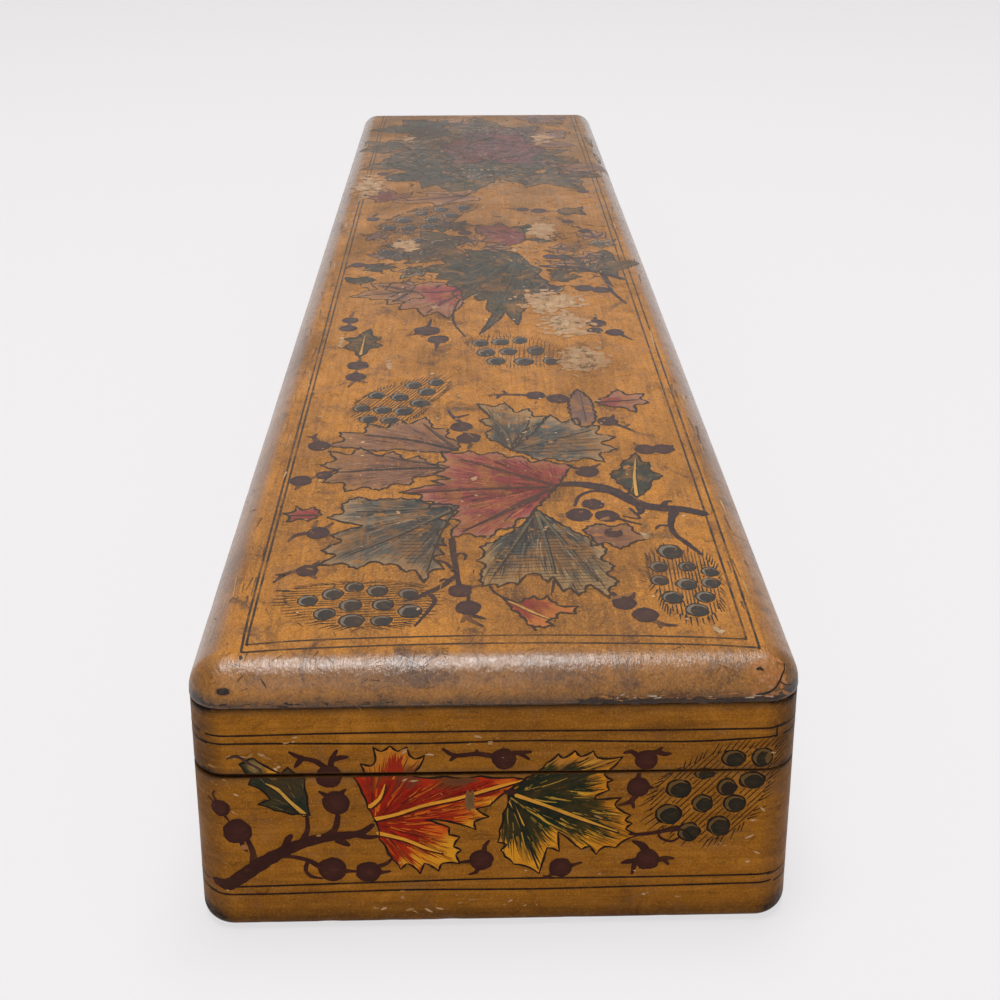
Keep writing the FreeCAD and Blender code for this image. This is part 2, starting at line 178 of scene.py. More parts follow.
# The floor: one wide, plain board let into a rebate under the walls and nailed up into them. It was
# never painted, and is darkest where the box has been slid about.
floor_wood = bare_wood("bare_floor_board", "x", pigment(138, 98, 58), pigment(96, 64, 36))
dress(floor_wood, "base_floor")


# Cut nails of soft iron hold the floor to the walls. Their heads have rusted brown and stained the
# wood round them.
rusty_iron, recipe, place = new_finish("rusty_iron")
crust = mottle(recipe, place, (0.5, 0.5, 0.5), 5.0, 0.7)
finish_off(recipe, {
    "Base Color": tint_where(recipe, pigment(44, 34, 30), crust, 0.35, 0.65, 1.0, pigment(96, 52, 28)),
    "Roughness": where_over(recipe, crust, 0.3, 0.6, 0.55, 0.9),
    "Metallic": 0.6,
    "Normal": relief(recipe, crust, 0.08),
})
dress(rusty_iron, "base_floor_nails")


# The base's ground coat: gesso and ochre paint under brown varnish, drawn over the bottom arris and
# just over the rim. It is darker at the arrises, the corners and the rim, with handling and as painted
# shade, and chipped where the lid has knocked it.
half_long = 176.0
half_wide = 42.0
corner = 5.2
end_flat = half_wide - corner
corner_run = math.pi / 2 * corner
side_run = 2 * (half_long - corner)
whole_run = 4 * end_flat + 4 * corner_run + 2 * side_run
quarter = end_flat + corner_run
base_rim = 25.2
bottom_round = 1.8
ground_lift = 0.06


def around(run, out=0.0):
    """A point of the box's outline and the way it faces, run mm round from the middle of the near end.

    The near end comes first, then the back with the hinges, the far end and the front.
    """
    run = run % whole_run
    legs = (
        (end_flat, (half_long, 0.0), (0.0, 1.0)),
        (corner_run, (half_long - corner, half_wide - corner), 0),
        (side_run, (half_long - corner, half_wide), (-1.0, 0.0)),
        (corner_run, (corner - half_long, half_wide - corner), 90),
        (2 * end_flat, (-half_long, end_flat), (0.0, -1.0)),
        (corner_run, (corner - half_long, corner - half_wide), 180),
        (side_run, (corner - half_long, -half_wide), (1.0, 0.0)),
        (corner_run, (half_long - corner, corner - half_wide), 270),
        (end_flat, (half_long, -end_flat), (0.0, 1.0)),
    )
    for length, start, way in legs:
        if run <= length:
            break
        run -= length
    if isinstance(way, tuple):
        facing = Vector((way[1], -way[0]))
        spot = Vector(start) + Vector(way) * run
    else:
        bearing = math.radians(way) + run / corner
        facing = Vector((math.cos(bearing), math.sin(bearing)))
        spot = Vector(start) + facing * corner
    return spot + facing * out, facing


def on_corner(facing):
    """0 on a flat side, 1 in the middle of a corner."""
    return abs(facing.x * facing.y) * 2.0


def round_corner(across):
    """How far round the outline a mark lies that is seen at this distance across the near end."""
    over = abs(across) - end_flat
    if over <= 0:
        return across
    return math.copysign(end_flat + corner * math.asin(min(over / corner, 1.0)), across)


def stations(near_step, corner_step, side_step, far_step):
    """Where a coat's columns stand round the outline: close together on the near end, wider elsewhere."""
    places = []
    start = 0.0
    legs = (
        (end_flat, near_step), (corner_run, corner_step), (side_run, side_step), (corner_run, corner_step),
        (2 * end_flat, far_step), (corner_run, corner_step), (side_run, side_step),
        (corner_run, corner_step), (end_flat, near_step),
    )
    for length, width in legs:
        count = max(1, round(length / width))
        places += [start + length * index / count for index in range(count)]
        start += length
    return places


def unevenness(x, y, z):
    """The coat's own slow waviness, in mm, from a brush and a hand-planed board."""
    return 0.02 * noise.noise(Vector((x / 19.0, y / 17.0, z / 13.0)))


def knocks(x, y, z):
    """How hard this part of an arris has been knocked: 0 for untouched, 1 for a dent."""
    hit = noise.noise(Vector((x / 4.3, y / 4.3 + 31.0, z / 4.3)))
    return max(0.0, (hit - 0.12) * 1.9)


def new_piece(name, mesh, body, finish):
    """Puts a new mesh on the object: its finish, and the body that it moves with."""
    piece = bpy.data.objects.new(name, mesh)
    bpy.context.scene.collection.objects.link(piece)
    mesh.materials.append(finish)
    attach(piece, body)
    return piece


def as_mesh(name, sheet, smooth=True):
    """Ends the work on a mesh."""
    for face in sheet.faces:
        face.smooth = smooth
    mesh = bpy.data.meshes.new(name)
    sheet.to_mesh(mesh)
    sheet.free()
    return mesh


def coat_mesh(name, columns, rows, place_of):
    """A coat of paint as a sheet of quads, closed round the box.

    place_of gives a point in mm, its grime and painted shade and its rub, for each crossing of a column and
    a row.
    """
    sheet = bmesh.new()
    grime_and_shade = sheet.verts.layers.float.new("grime_and_shade")
    rub = sheet.verts.layers.float.new("rub")
    grid = []
    for column in columns:
        line = []
        for row in rows:
            spot, dirt_and_shade, rubbed = place_of(column, row)
            point = sheet.verts.new(Vector(spot) / 1000.0)
            point[grime_and_shade] = dirt_and_shade
            point[rub] = rubbed
            line.append(point)
        grid.append(line)
    for left, right in zip(grid, grid[1:] + grid[:1]):
        for level in range(len(rows) - 1):
            sheet.faces.new((left[level], right[level], right[level + 1], left[level + 1]))
    return as_mesh(name, sheet)


def give_body(piece):
    """Makes a sheet 0.04 mm thick, as the coat is where it has flaked, so that its broken edges show."""
    solid = piece.modifiers.new("thickness", "SOLIDIFY")
    solid.thickness = 0.04 / 1000.0
    solid.offset = -1.0


def old_varnish(recipe, place, colour, streak_run, deep, thick=1.0, pale=1.0):
    """Brown varnish over paint: clouded, streaked by the brush, specked with dirt and scuffed.

    deep is how dark its patches are, pale how light its thin places look, thick how strongly it all shows.
    """
    clouds = mottle(recipe, place, (34, 26, 20), 5.0, 0.6, 0.5)
    patches = mottle(recipe, place, (8, 7, 6), 6.0, 0.68, 0.7)
    streaks = mottle(recipe, place, streak_run, 4.0, 0.6)
    specks = mottle(recipe, place, (0.55, 0.55, 0.55), 2.0, 0.6)
    blots = mottle(recipe, place, (3.2, 3.2, 3.0), 5.0, 0.7, 1.0)
    scuffs = mottle(recipe, place, (1.9, 1.9, 1.2), 5.0, 0.75, 1.6)
    # Fine flecks, lighter and darker: the varnish's crackle, with painted glints and shade in it.
    grain = mottle(recipe, place, (0.34, 0.3, 0.3), 3.0, 0.65)
    for amount, low, high, share, red, green, blue in (
        (patches, 0.5, 0.3, 0.5 * deep * pale, 206, 134, 44), (clouds, 0.42, 0.7, 0.5 * deep, 88, 54, 20),
        (patches, 0.5, 0.72, 0.75 * deep, 72, 42, 18), (streaks, 0.48, 0.74, 0.36, 62, 38, 14),
        (streaks, 0.5, 0.26, 0.2 * pale, 204, 140, 56), (blots, 0.58, 0.76, 0.6, 50, 31, 16),
        (grain, 0.5, 0.7, 0.46 * deep, 60, 37, 16), (grain, 0.48, 0.3, 0.32 * deep * pale, 222, 164, 86),
        (specks, 0.66, 0.78, 0.55, 38, 25, 15), (scuffs, 0.7, 0.78, 0.45, 196, 156, 108),
    ):
        colour = tint_where(recipe, colour, amount, low, high, share * thick, pigment(red, green, blue))
    return colour, clouds, streaks, blots


def point_value(recipe, name, socket="Fac"):
    """What a mesh tells its finish: a value or a colour kept at its points."""
    return step(recipe, "ShaderNodeAttribute", {}, attribute_name=name).outputs[socket]


def varnished(recipe, colour, clouds, blots, dullest, bump, shine, coat, coat_blur):
    """The surface of varnish: dull in its clouds and blots, glossy between them."""
    finish_off(recipe, {
        "Base Color": colour, "Normal": bump,
        "Roughness": where_over(recipe, both(recipe, clouds, blots, "MAXIMUM"), 0.35, 0.75, 0.32, dullest),
        "Specular IOR Level": shine, "Coat Weight": coat, "Coat Roughness": coat_blur, "Coat Normal": bump,
    })


def painted_ground(name, streak_run, tint, patchy, deep, shine, coat, gloss_and_sheen=None):
    """Ochre ground under varnish, with grime and painted shade at its arrises and rubs to pale gesso and
    wood.
    """
    finish, recipe, place = new_finish(name)
    colour, clouds, streaks, blots = old_varnish(recipe, place, tint, streak_run, deep)
    ragged = mottle(recipe, place, (1.1, 1.1, 0.9), 5.0, 0.7, 0.8)
    smear = mottle(recipe, place, (7, 7, 4), 4.0, 0.6, 0.8)
    colour = tint_where(recipe, colour, smear, 0.52, 0.74, patchy, pigment(118, 84, 62))
    if gloss_and_sheen is not None:
        # On the roll, where the lamp's highlight falls, a mauve-grey tint: painted sheen.
        polish_and_sheen = point_value(recipe, "polish_and_sheen")
        colour = tint_where(recipe, colour, polish_and_sheen, 0.0, 1.0, 0.5, pigment(86, 63, 52))
        # Greyer and darker in patches towards the far end: a painted haze of reflection and shade.
        length = step(recipe, "ShaderNodeSeparateXYZ", {"Vector": place}).outputs["X"]
        far_off = where_over(recipe, length, 80.0, -150.0, 0.0, 0.72)
        grey = both(recipe, far_off, where_over(recipe, smear, 0.2, 0.6))
        colour = glaze(recipe, grey, colour, pigment(110, 84, 54))
        coat = where_over(recipe, polish_and_sheen, 0.0, 1.0, coat, gloss_and_sheen)
    bare = both(recipe, point_value(recipe, "rub"), where_over(recipe, ragged, 0.4, 0.62))
    colour = glaze(recipe, bare, colour, pigment(190, 140, 88))
    # Darker with grime and painted shade, as much as the mesh's grime_and_shade value says.
    dark = both(recipe, point_value(recipe, "grime_and_shade"), where_over(recipe, ragged, 0.2, 0.62, 0.5, 1.15))
    colour = glaze(recipe, dark, colour, pigment(36, 24, 15))
    net = {"Vector": place, "Scale": 0.4}
    crackle = step(recipe, "ShaderNodeTexVoronoi", net, feature="DISTANCE_TO_EDGE").outputs["Distance"]
    cracks = where_over(recipe, crackle, 0.0, 0.03)
    bump = relief(recipe, streaks, 0.06 + 0.1 * deep, 0.7)
    bump = relief(recipe, cracks, 0.02, 0.4, bump)
    bump = relief(recipe, ragged, 0.08 + 0.06 * deep, 0.6, bump)
    varnished(recipe, colour, clouds, blots, 0.6, bump, shine, coat, 0.16)
    return finish


side_streaks = (13, 13, 0.7)
side_ground = painted_ground(
    "ochre_ground_of_the_sides", side_streaks, pigment(148, 92, 16), 0.3, 0.6, 0.06, 0.0
)


def belt(run, lift, level):
    """A point of the painted outside of the base or the lid's rails, lift mm proud of the board."""
    spot, facing = around(run)
    rise = lift + unevenness(spot.x, spot.y, level)
    if level < bottom_round:
        tip = (bottom_round - level) / bottom_round
        rise -= bottom_round * (1.0 - math.sqrt(max(0.0, 1.0 - tip * tip)))
    spot = spot + facing * rise
    return (spot.x, spot.y, level)


def base_coat_place(run, row):
    """A crossing of the base's coat: on the bottom arris, on the wall or turned in over the rim."""
    kind, value = row
    spot, facing = around(run)
    if kind == "arris":
        turned = math.radians(value)
        knock = knocks(spot.x, spot.y, 0.0) * 0.05
        reach = bottom_round + ground_lift - knock
        out = -bottom_round + reach * math.cos(turned)
        level = bottom_round - reach * math.sin(turned)
        point = spot + facing * out
        # Darker where the arris turns under the box, and at the corners: painted shade and grime.
        dirt_and_shade = min(1.0, 0.45 + 0.55 * on_corner(facing) + 0.4 * value / 70.0)
        return (point.x, point.y, max(level, 0.03)), dirt_and_shade, knock * 4.0
    if kind == "wall":
        low = max(0.0, 1.0 - (value - bottom_round) / 3.2)
        high = max(0.0, 1.0 - (base_rim - value) / 1.0)
        # Darker towards the bottom, at the corners and towards the rim: painted shade and grime.
        dirt_and_shade = 0.5 * low ** 1.5 + 0.62 * on_corner(facing) * (0.6 + 0.4 * low) + 0.55 * high
        return belt(run, ground_lift, value), min(dirt_and_shade, 1.0), 0.55 * high
    # Turned in over the rim, in the seam: dark as grime and painted shade.
    inward, level = value
    point = spot + facing * (ground_lift - inward)
    return (point.x, point.y, level), 0.75, 0.4


base_rows = [("arris", angle) for angle in (70, 55, 40, 26, 13)]
base_rows += [("wall", bottom_round + 22.9 * index / 19.0) for index in range(20)]
base_rows += [("wall", 24.9), ("wall", 25.08)]
base_rows += [("rim", (0.03, 25.2)), ("rim", (0.25, 25.235)), ("rim", (0.6, 25.235))]
base_columns = stations(0.5, 0.35, 2.0, 1.5)
coat_sheet = coat_mesh("base_painted_coat", base_columns, base_rows, base_coat_place)
give_body(new_piece("base_painted_coat", coat_sheet, "base", side_ground))


# Two butt hinges of brass, their leaves let into the back rims and held by small slotted screws, with
# a pin of brass wire. The barrels have dulled to brown in the joints and stay brighter on the rolls.
def old_brass(name, bright, dull, stretch):
    """Brass gone brown in soft patches, with fine scratches drawn out as stretch says."""
    finish, recipe, place = new_finish(name)
    tarnish = mottle(recipe, place, (3.0, 3.0, 3.0), 5.0, 0.65, 0.5)
    fine = mottle(recipe, place, stretch, 3.0, 0.6)
    colour = tint_where(recipe, bright, tarnish, 0.38, 0.64, 1.0, dull)
    colour = tint_where(recipe, colour, fine, 0.6, 0.75, 0.5, pigment(58, 42, 22))
    rough = where_over(recipe, tarnish, 0.35, 0.68, 0.3, 0.62)
    bump = relief(recipe, fine, 0.02, 0.6)
    finish_off(recipe, {"Base Color": colour, "Roughness": rough, "Metallic": 1.0, "Normal": bump})
    return finish


leaf_brass = old_brass("brass_leaf", pigment(176, 140, 78), pigment(112, 84, 44), (4, 0.3, 0.3))
pin_brass = old_brass("brass_pin", pigment(188, 152, 90), pigment(120, 90, 50), (0.3, 0.3, 0.3))
for side in ("left", "right"):
    dress(leaf_brass, side + "_hinge_base_leaf", side + "_hinge_lid_leaf")
    dress(pin_brass, side + "_hinge_pin")
dress(pin_brass, "hinge_base_screws", "hinge_lid_screws")


# The lid's rails are cut from the same boards as the walls. Their rim was planed with a slight wedge,
# so the seam is a little wider at the front than at the hinges.
dress(wood_lengthwise, "lid_front_rail", "lid_back_rail")
dress(wood_crosswise, "lid_left_end_rail", "lid_right_end_rail")
dress(rusty_iron, "lid_top_nails")


# The lid's top: one board, planed to a quarter-round all the way round its edge, glued and nailed down
# on the rails. The bare wood shows on its underside, and wherever the paint has flaked off the roll.
roll = 5.2
roll_centre_out = -5.0
roll_centre_up = 36.75
crease = 36.35
board_radius = 5.04
flat_long = half_long + roll_centre_out
flat_wide = half_wide + roll_centre_out


def roll_point(run, turned, radius):
    """A point on the roll: turned is 0 where it meets the flat top and 90 degrees on the upright edge."""
    spot, facing = around(run, roll_centre_out + radius * math.sin(math.radians(turned)))
    return Vector((spot.x, spot.y, roll_centre_up + radius * math.cos(math.radians(turned))))


def flat_lines(near_step, far_step):
    """The mesh lines across the length of the flat top, close together at the near end."""
    lines = [flat_long]
    while lines[-1] > -flat_long:
        gone = (flat_long - lines[-1]) / (2 * flat_long)
        lines.append(lines[-1] - (near_step + (far_step - near_step) * min(1.0, gone * 1.6)))
    lines[-1] = -flat_long
    return lines


def from_middle(run):
    """The same run counted either way from the middle of the near end: minus towards the front."""
    return run if run < whole_run / 2 else run - whole_run


def share_of(amount, low, high):
    """0 below one level, 1 above another, and evenly between them."""
    return min(1.0, max(0.0, (amount - low) / (high - low)))


def top_sheet(radius, near_step, width_step, turns, below, wavy, is_lost=None):
    """The whole top as one sheet: the flat, the roll round it, and what hangs below the roll.

    turns are the degrees at which the roll has its rings, and below the offsets and levels under it.
    The sheet comes with its last ring.
    """
    sheet = bmesh.new()
    grime_and_shade = sheet.verts.layers.float.new("grime_and_shade")
    rub = sheet.verts.layers.float.new("rub")
    polish_and_sheen = sheet.verts.layers.float.new("polish_and_sheen")
    across = max(2, round(2 * flat_wide / width_step))
    ys = [-flat_wide + 2 * flat_wide * part / across for part in range(across + 1)]
    lines = flat_lines(near_step, near_step * 2.5)
    grid = []
    for x in lines:
        line = []
        for y in ys:
            z = roll_centre_up + radius + (unevenness(x, y, 42.0) if wavy else 0.0)
            line.append(sheet.verts.new((x / 1000.0, y / 1000.0, z / 1000.0)))
        grid.append(line)
    for near, far in zip(grid, grid[1:]):
        for part in range(across):
            sheet.faces.new((near[part], near[part + 1], far[part + 1], far[part]))
    far_end = quarter + side_run + corner_run
    front_side = far_end + 2 * end_flat + corner_run
    near_front = front_side + side_run + corner_run
    stretch = side_run / (2 * flat_long)
    near_end = [(y, point) for y, point in zip(ys, grid[0])]
    edge = near_end[across // 2:]
    edge += [(quarter + (flat_long - x) * stretch, line[-1]) for x, line in zip(lines, grid)]
    edge += [
        (far_end + end_flat * (1.0 - y / flat_wide), point)
        for y, point in zip(ys[::-1], grid[-1][::-1])
    ]
    edge += [(front_side + (flat_long + x) * stretch, line[0]) for x, line in zip(lines[::-1], grid[::-1])]
    edge += [(near_front + end_flat * (1.0 + y / flat_wide), point) for y, point in near_end[:across // 2]]
    ring_runs = []
    last = []
    for (run, point), (next_run, next_point) in zip(edge, edge[1:] + edge[:1]):
        ring_runs.append(min(max(run, 0.0), whole_run))
        last.append(point)
        gap = (next_run - run) % whole_run
        if point is next_point and gap > 1.0:
            pieces = max(2, round(gap / 0.4))
            ring_runs += [run + gap * part / pieces for part in range(1, pieces)]
            last += [point] * (pieces - 1)
    rings = [("roll", turned) for turned in turns] + [("edge", part) for part in below]
    for ring, (kind, value) in enumerate(rings):
        fresh = []
        for run in ring_runs:
            spot, facing = around(run)
            if kind == "roll":
                turn = value / 90.0
                wave = unevenness(spot.x, spot.y, 40.0 - value / 20.0) if wavy else 0.0
                knock = knocks(spot.x, spot.y, 40.0) * 0.04 * turn if wavy else 0.0
                place = roll_point(run, value, radius + wave - knock)
                # Darker as the roll turns down, at the corners and just above the crease: painted shade and
                # grime.
                dirt_and_shade = 0.14 * turn + 0.5 * on_corner(facing) * turn + 0.6 * max(0.0, value - 74.0) / 16.0
                # Darker on the hinge side of the near half: painted shade.
                dirt_and_shade += 0.24 * max(0.0, facing.y) * share_of(spot.x, 10.0, 120.0)
                rubbed = 0.2 * turn
                # Polish where the lamp's highlight falls on the near roll: painted sheen and a glossier
                # coat.
                gloss_and_sheen = min(1.0, value / 26.0, 1.0 - (value - 38.0) / 54.0)
                signed = from_middle(run)
                if abs(signed) < 44.0:
                    gloss_and_sheen *= 1.0 - 0.5 * max(share_of(signed, 6.0, 20.0), share_of(-signed, 30.0, 38.0))
                elif 0.0 < signed < 150.0:
                    gloss_and_sheen *= 0.5 + 0.5 * share_of(signed, 70.0, 130.0)
            else:
                out, level = value
                gloss_and_sheen = 0.3
                if wavy:
                    out += 0.04 * noise.noise(Vector((run / 1.7, level, 2.0)))
                    level += 0.14 * noise.noise(Vector((run / 1.1, 5.0, 0.0)))
                point = spot + facing * (out + radius - roll)
                place = Vector((point.x, point.y, level))
                # Below the roll, at the crease: dark as grime and painted shade.
                dirt_and_shade = 0.7
                rubbed = 0.2
            vertex = sheet.verts.new(place / 1000.0)
            vertex[grime_and_shade] = dirt_and_shade
            vertex[rub] = rubbed
            vertex[polish_and_sheen] = gloss_and_sheen
            fresh.append(vertex)
        for index in range(len(ring_runs)):
            after = (index + 1) % len(ring_runs)
            corners = [last[index], fresh[index], fresh[after], last[after]]
            if corners[0] is corners[3]:
                corners.pop()
            if is_lost is not None and is_lost(ring_runs[index], ring):
                continue
            sheet.faces.new(corners)
        last = fresh
    return sheet, last


def top_mesh(name, sheet):
    """Ends the work on a sheet of the top, without the points that no face uses."""
    loose = [point for point in sheet.verts if not point.link_faces]
    bmesh.ops.delete(sheet, geom=loose, context="VERTS")
    bmesh.ops.recalc_face_normals(sheet, faces=sheet.faces)
    return as_mesh(name, sheet)


board_turns = (15, 30, 45, 60, 75, 90)
board, rim_loop = top_sheet(board_radius, 4.0, 3.0, board_turns, [(0.2, 36.5), (0.2, crease + 0.01)], False)
board.faces.new(rim_loop)
board_mesh = top_mesh("lid_top_board_wood", board)
top_board = new_piece("lid_top_board_wood", board_mesh, "lid", wood_lengthwise)
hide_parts("lid_top_board")


# The lid's ground coat, over the rails and up to the crease, in the same ochre and varnish as the base.
# It stops short at the crease, where the joint with the top has opened into a dark line of dirt and
# painted shade. It is darker towards the rim, the crease and the corners, as grime and painted shade.
def lid_rim(y):
    """The height of the lid's planed rim, from front to back."""
    return 25.45 + (half_wide - y) / (2 * half_wide) * 0.5


def lid_coat_place(run, row):
    """A crossing of the lid's coat: turned in under the rim, or on the rail between rim and crease."""
    kind, value = row
    spot, facing = around(run)
    rim = lid_rim(spot.y)
    if kind == "rim":
        inward, above = value
        point = spot + facing * (ground_lift - inward)
        # Turned in under the rim, in the seam: dark as grime and painted shade.
        return (point.x, point.y, rim + above), 0.75, 0.3
    lowest = rim + 0.12
    level = lowest + (36.2 - lowest) * value
    low = max(0.0, 1.0 - (level - rim) / 0.9)
    high = max(0.0, 1.0 - (36.3 - level) / 1.3)
    # Darker towards the rim, the crease and the corners: painted shade and grime.
    dirt_and_shade = 0.5 * low + 0.85 * high + 0.58 * on_corner(facing)
    return belt(run, ground_lift, level), min(dirt_and_shade, 1.0), 0.3 * low + 0.35 * high


lid_rows = [("rim", (0.6, -0.035)), ("rim", (0.25, -0.035)), ("rim", (0.03, 0.0))]
lid_rows += [("wall", index / 14.0) for index in range(15)]
coat_sheet = coat_mesh("lid_painted_coat", base_columns, lid_rows, lid_coat_place)
give_body(new_piece("lid_painted_coat", coat_sheet, "lid", side_ground))


# The top's ground coat. It runs over the roll in one with the flat and ends in a thick, broken lip at
# the crease, rubbed paler along the roll by handling and darker down the roll with grime and painted
# shade. Where the lamp's highlight falls on the near roll it is tinted mauve-grey as a painted sheen,
# and towards the far end it is greyed in patches as a painted haze of reflection and shade.
top_streaks = (16, 0.8, 0.8)
top_ground = painted_ground(
    "ochre_ground_of_the_top", top_streaks, pigment(176, 111, 18), 0.3, 1.16, 0.4, 0.13, 1.0
)
coat_radius = 5.12
coat_turns = (8, 16, 24, 32, 40, 48, 56, 64, 72, 80, 86, 90)
lip = [(0.2, 36.6), (0.22, 36.47), (0.2, 36.38), (0.1, 36.36)]


def lip_is_gone(run, ring):
    """Where the lip of paint along the crease has broken off, most of all on the right of the near end."""
    hold = 0.12 if 13 < from_middle(run) < 38 else 0.42
    return ring >= len(coat_turns) and noise.noise(Vector((run / 1.5, 21.0, ring / 6.0))) > hold


coat_sheet = top_mesh(
    "lid_top_coat", top_sheet(coat_radius, 1.4, 1.4, coat_turns, lip, True, lip_is_gone)[0],
)
give_body(new_piece("lid_top_coat", coat_sheet, "lid", top_ground))


# The painting. The decorator worked in maroon, ink, red, leaf green and yellow straight on to the ochre
# ground with small pointed brushes, then varnished the whole. Each mark is laid here as a film of paint.
ink = pigment(24, 18, 11)
maroon = pigment(52, 22, 18)
gold = pigment(214, 144, 30)


def new_film():
    """A film of paint while it is still flat: across and up in mm, with tints and heights in the stack."""
    film = bmesh.new()
    film.verts.layers.float_color.new("paint")
    film.verts.layers.float.new("stack")
    return film


layer_step = 0.005
mark_step = 0.0004


def marks(film, points, tints, layer):
    """Sets down points of paint. Later layers lie higher, and each mark a hair above the one before."""
    tone = film.verts.layers.float_color["paint"]
    stack = film.verts.layers.float["stack"]
    height = layer * layer_step + (len(film.faces) % 11) * mark_step
    made = []
    for index, (across, up) in enumerate(points):
        point = film.verts.new((across, up, 0.0))
        point[tone] = tints[index] if isinstance(tints, list) else tints
        point[stack] = height
        made.append(point)
    return made


def blend(one, other, share):
    """One paint mixed with a share of another."""
    share = min(max(share, 0.0), 1.0)
    return tuple(a + (b - a) * share for a, b in zip(one, other))


def brush_path(through, spacing):
    """The smooth path of a brush through a few marks, as close points with their place along the marks."""
    if len(through) == 2:
        gap = math.dist(through[0], through[1])
        count = max(1, round(gap / spacing))
        steps = [index / count for index in range(count + 1)]
        return [(through[0][0] + (through[1][0] - through[0][0]) * part,
                 through[0][1] + (through[1][1] - through[0][1]) * part, part) for part in steps]
    path = []
    last = len(through) - 1
    for leg in range(last):
        before = through[max(leg - 1, 0)]
        start, end = through[leg], through[leg + 1]
        after = through[min(leg + 2, last)]
        count = max(1, round(math.dist(start, end) / spacing))
        for index in range(count + (leg == last - 1)):
            t = index / count
            spot = []
            for axis in (0, 1):
                a, b, c, d = before[axis], start[axis], end[axis], after[axis]
                spot.append(0.5 * (2 * b + (c - a) * t + (2 * a - 5 * b + 4 * c - d) * t * t
                                   + (3 * b - a - 3 * c + d) * t * t * t))
            path.append((spot[0], spot[1], leg + t))
    return path


def stroke(film, through, widths, tint, layer, spacing=0.45):
    """One brush stroke: a ribbon that swells and thins, with rounded ends."""
    if not isinstance(widths, (list, tuple)):
        widths = [widths] * len(through)
    path = brush_path(through, spacing)
    left, right = [], []
    for index, (across, up, at) in enumerate(path):
        before = path[max(index - 1, 0)]
        after = path[min(index + 1, len(path) - 1)]
        way = Vector((after[0] - before[0], after[1] - before[1]))
        if way.length < 1e-6:
            way = Vector((1.0, 0.0))
        way.normalize()
        leg = min(int(at), len(widths) - 2)
        width = widths[leg] + (widths[leg + 1] - widths[leg]) * (at - leg)
        width *= 1.0 + 0.16 * noise.noise(Vector((across * 1.3, up * 1.3, layer)))
        left.append((across - way.y * width / 2, up + way.x * width / 2))
        right.append((across + way.y * width / 2, up - way.x * width / 2))
    tips = []
    for end, inner in ((0, 1), (-1, -2)):
        way = Vector((path[end][0] - path[inner][0], path[end][1] - path[inner][1])).normalized()
        reach = math.dist(left[end], right[end]) * 0.45
        tips.append((path[end][0] + way.x * reach, path[end][1] + way.y * reach))
    made = marks(film, right + left + tips, tint, layer)
    count = len(path)
    for index in range(count - 1):
        film.faces.new((made[index], made[index + 1], made[count + index + 1], made[count + index]))
    film.faces.new((made[2 * count], made[0], made[count]))
    film.faces.new((made[count - 1], made[2 * count + 1], made[2 * count - 1]))


def blot(film, centre, radii, tint, layer, edge=None, ragged=0.07, tilt=0.0):
    """A filled round of paint, a little uneven at its edge."""
    wide, high = radii if isinstance(radii, (list, tuple)) else (radii, radii)
    sides, rings = (20, (0.35, 0.7, 1.0)) if max(wide, high) > 1.25 else (10, (1.0,))
    points = [centre]
    tints = [tint]
    for ring in rings:
        for index in range(sides):
            angle = index / sides * 2 * math.pi
            near = Vector((centre[0] + 2 * math.cos(angle), centre[1] + 2 * math.sin(angle), layer * 3.7))
            sway = ring * (1.0 + ragged * 2.0 * noise.noise(near))
            a, b = wide * sway * math.cos(angle), high * sway * math.sin(angle)
            points.append((centre[0] + a * math.cos(tilt) - b * math.sin(tilt),
                           centre[1] + a * math.sin(tilt) + b * math.cos(tilt)))
            tints.append(blend(tint, edge or tint, ring))
    made = marks(film, points, tints, layer)
    for index in range(sides):
        after = (index + 1) % sides
        film.faces.new((made[0], made[1 + index], made[1 + after]))
        for ring in range(1, len(points) - sides, sides):
            outer = ring + sides
            film.faces.new(
                (made[ring + index], made[outer + index], made[outer + after], made[ring + after])
            )


def is_inside(point, outline):
    """Whether a point lies inside an outline."""
    found = False
    for (ax, ay), (bx, by) in zip(outline, outline[1:] + outline[:1]):
        if (ay > point[1]) != (by > point[1]):
            if point[0] < (bx - ax) * (point[1] - ay) / (by - ay) + ax:
                found = not found
    return found


def reach_to_edge(base, point, outline):
    """How far the outline lies from a leaf's base, looking through a point."""
    way = Vector((point[0] - base[0], point[1] - base[1]))
    if way.length < 1e-6:
        return 1.0
    way.normalize()
    best = 0.001
    for (ax, ay), (bx, by) in zip(outline, outline[1:] + outline[:1]):
        side = Vector((bx - ax, by - ay))
        cross = way.x * side.y - way.y * side.x
        if abs(cross) < 1e-9:
            continue
        from_base = Vector((ax - base[0], ay - base[1]))
        along = (from_base.x * side.y - from_base.y * side.x) / cross
        where = (from_base.x * way.y - from_base.y * way.x) / cross
        if along > best and -0.01 <= where <= 1.01:
            best = along
    return best


def wash(film, outline, tint_at, layer, spacing):
    """Fills an outline with paint whose tint changes from place to place."""
    points = [Vector(point) for point in outline]
    low = [min(point[axis] for point in outline) for axis in (0, 1)]
    high = [max(point[axis] for point in outline) for axis in (0, 1)]
    up = low[1]
    odd = False
    while up < high[1]:
        across = low[0] + (spacing / 2 if odd else 0.0)
        while across < high[0]:
            if is_inside((across, up), outline):
                points.append(Vector((across, up)))
            across += spacing
        up += spacing * 0.87
        odd = not odd
    count = len(outline)
    ring = [(index, (index + 1) % count) for index in range(count)]
    mesh = delaunay_2d_cdt(points, ring, [], 1, 1e-5)
    flat = [(spot.x, spot.y) for spot in mesh[0]]
    made = marks(film, flat, [tint_at(*spot) for spot in flat], layer)
    for face in mesh[2]:
        film.faces.new([made[index] for index in face])


def middle_of(outline):
    """The middle of an outline's marks."""
    return tuple(sum(point[axis] for point in outline) / len(outline) for axis in (0, 1))


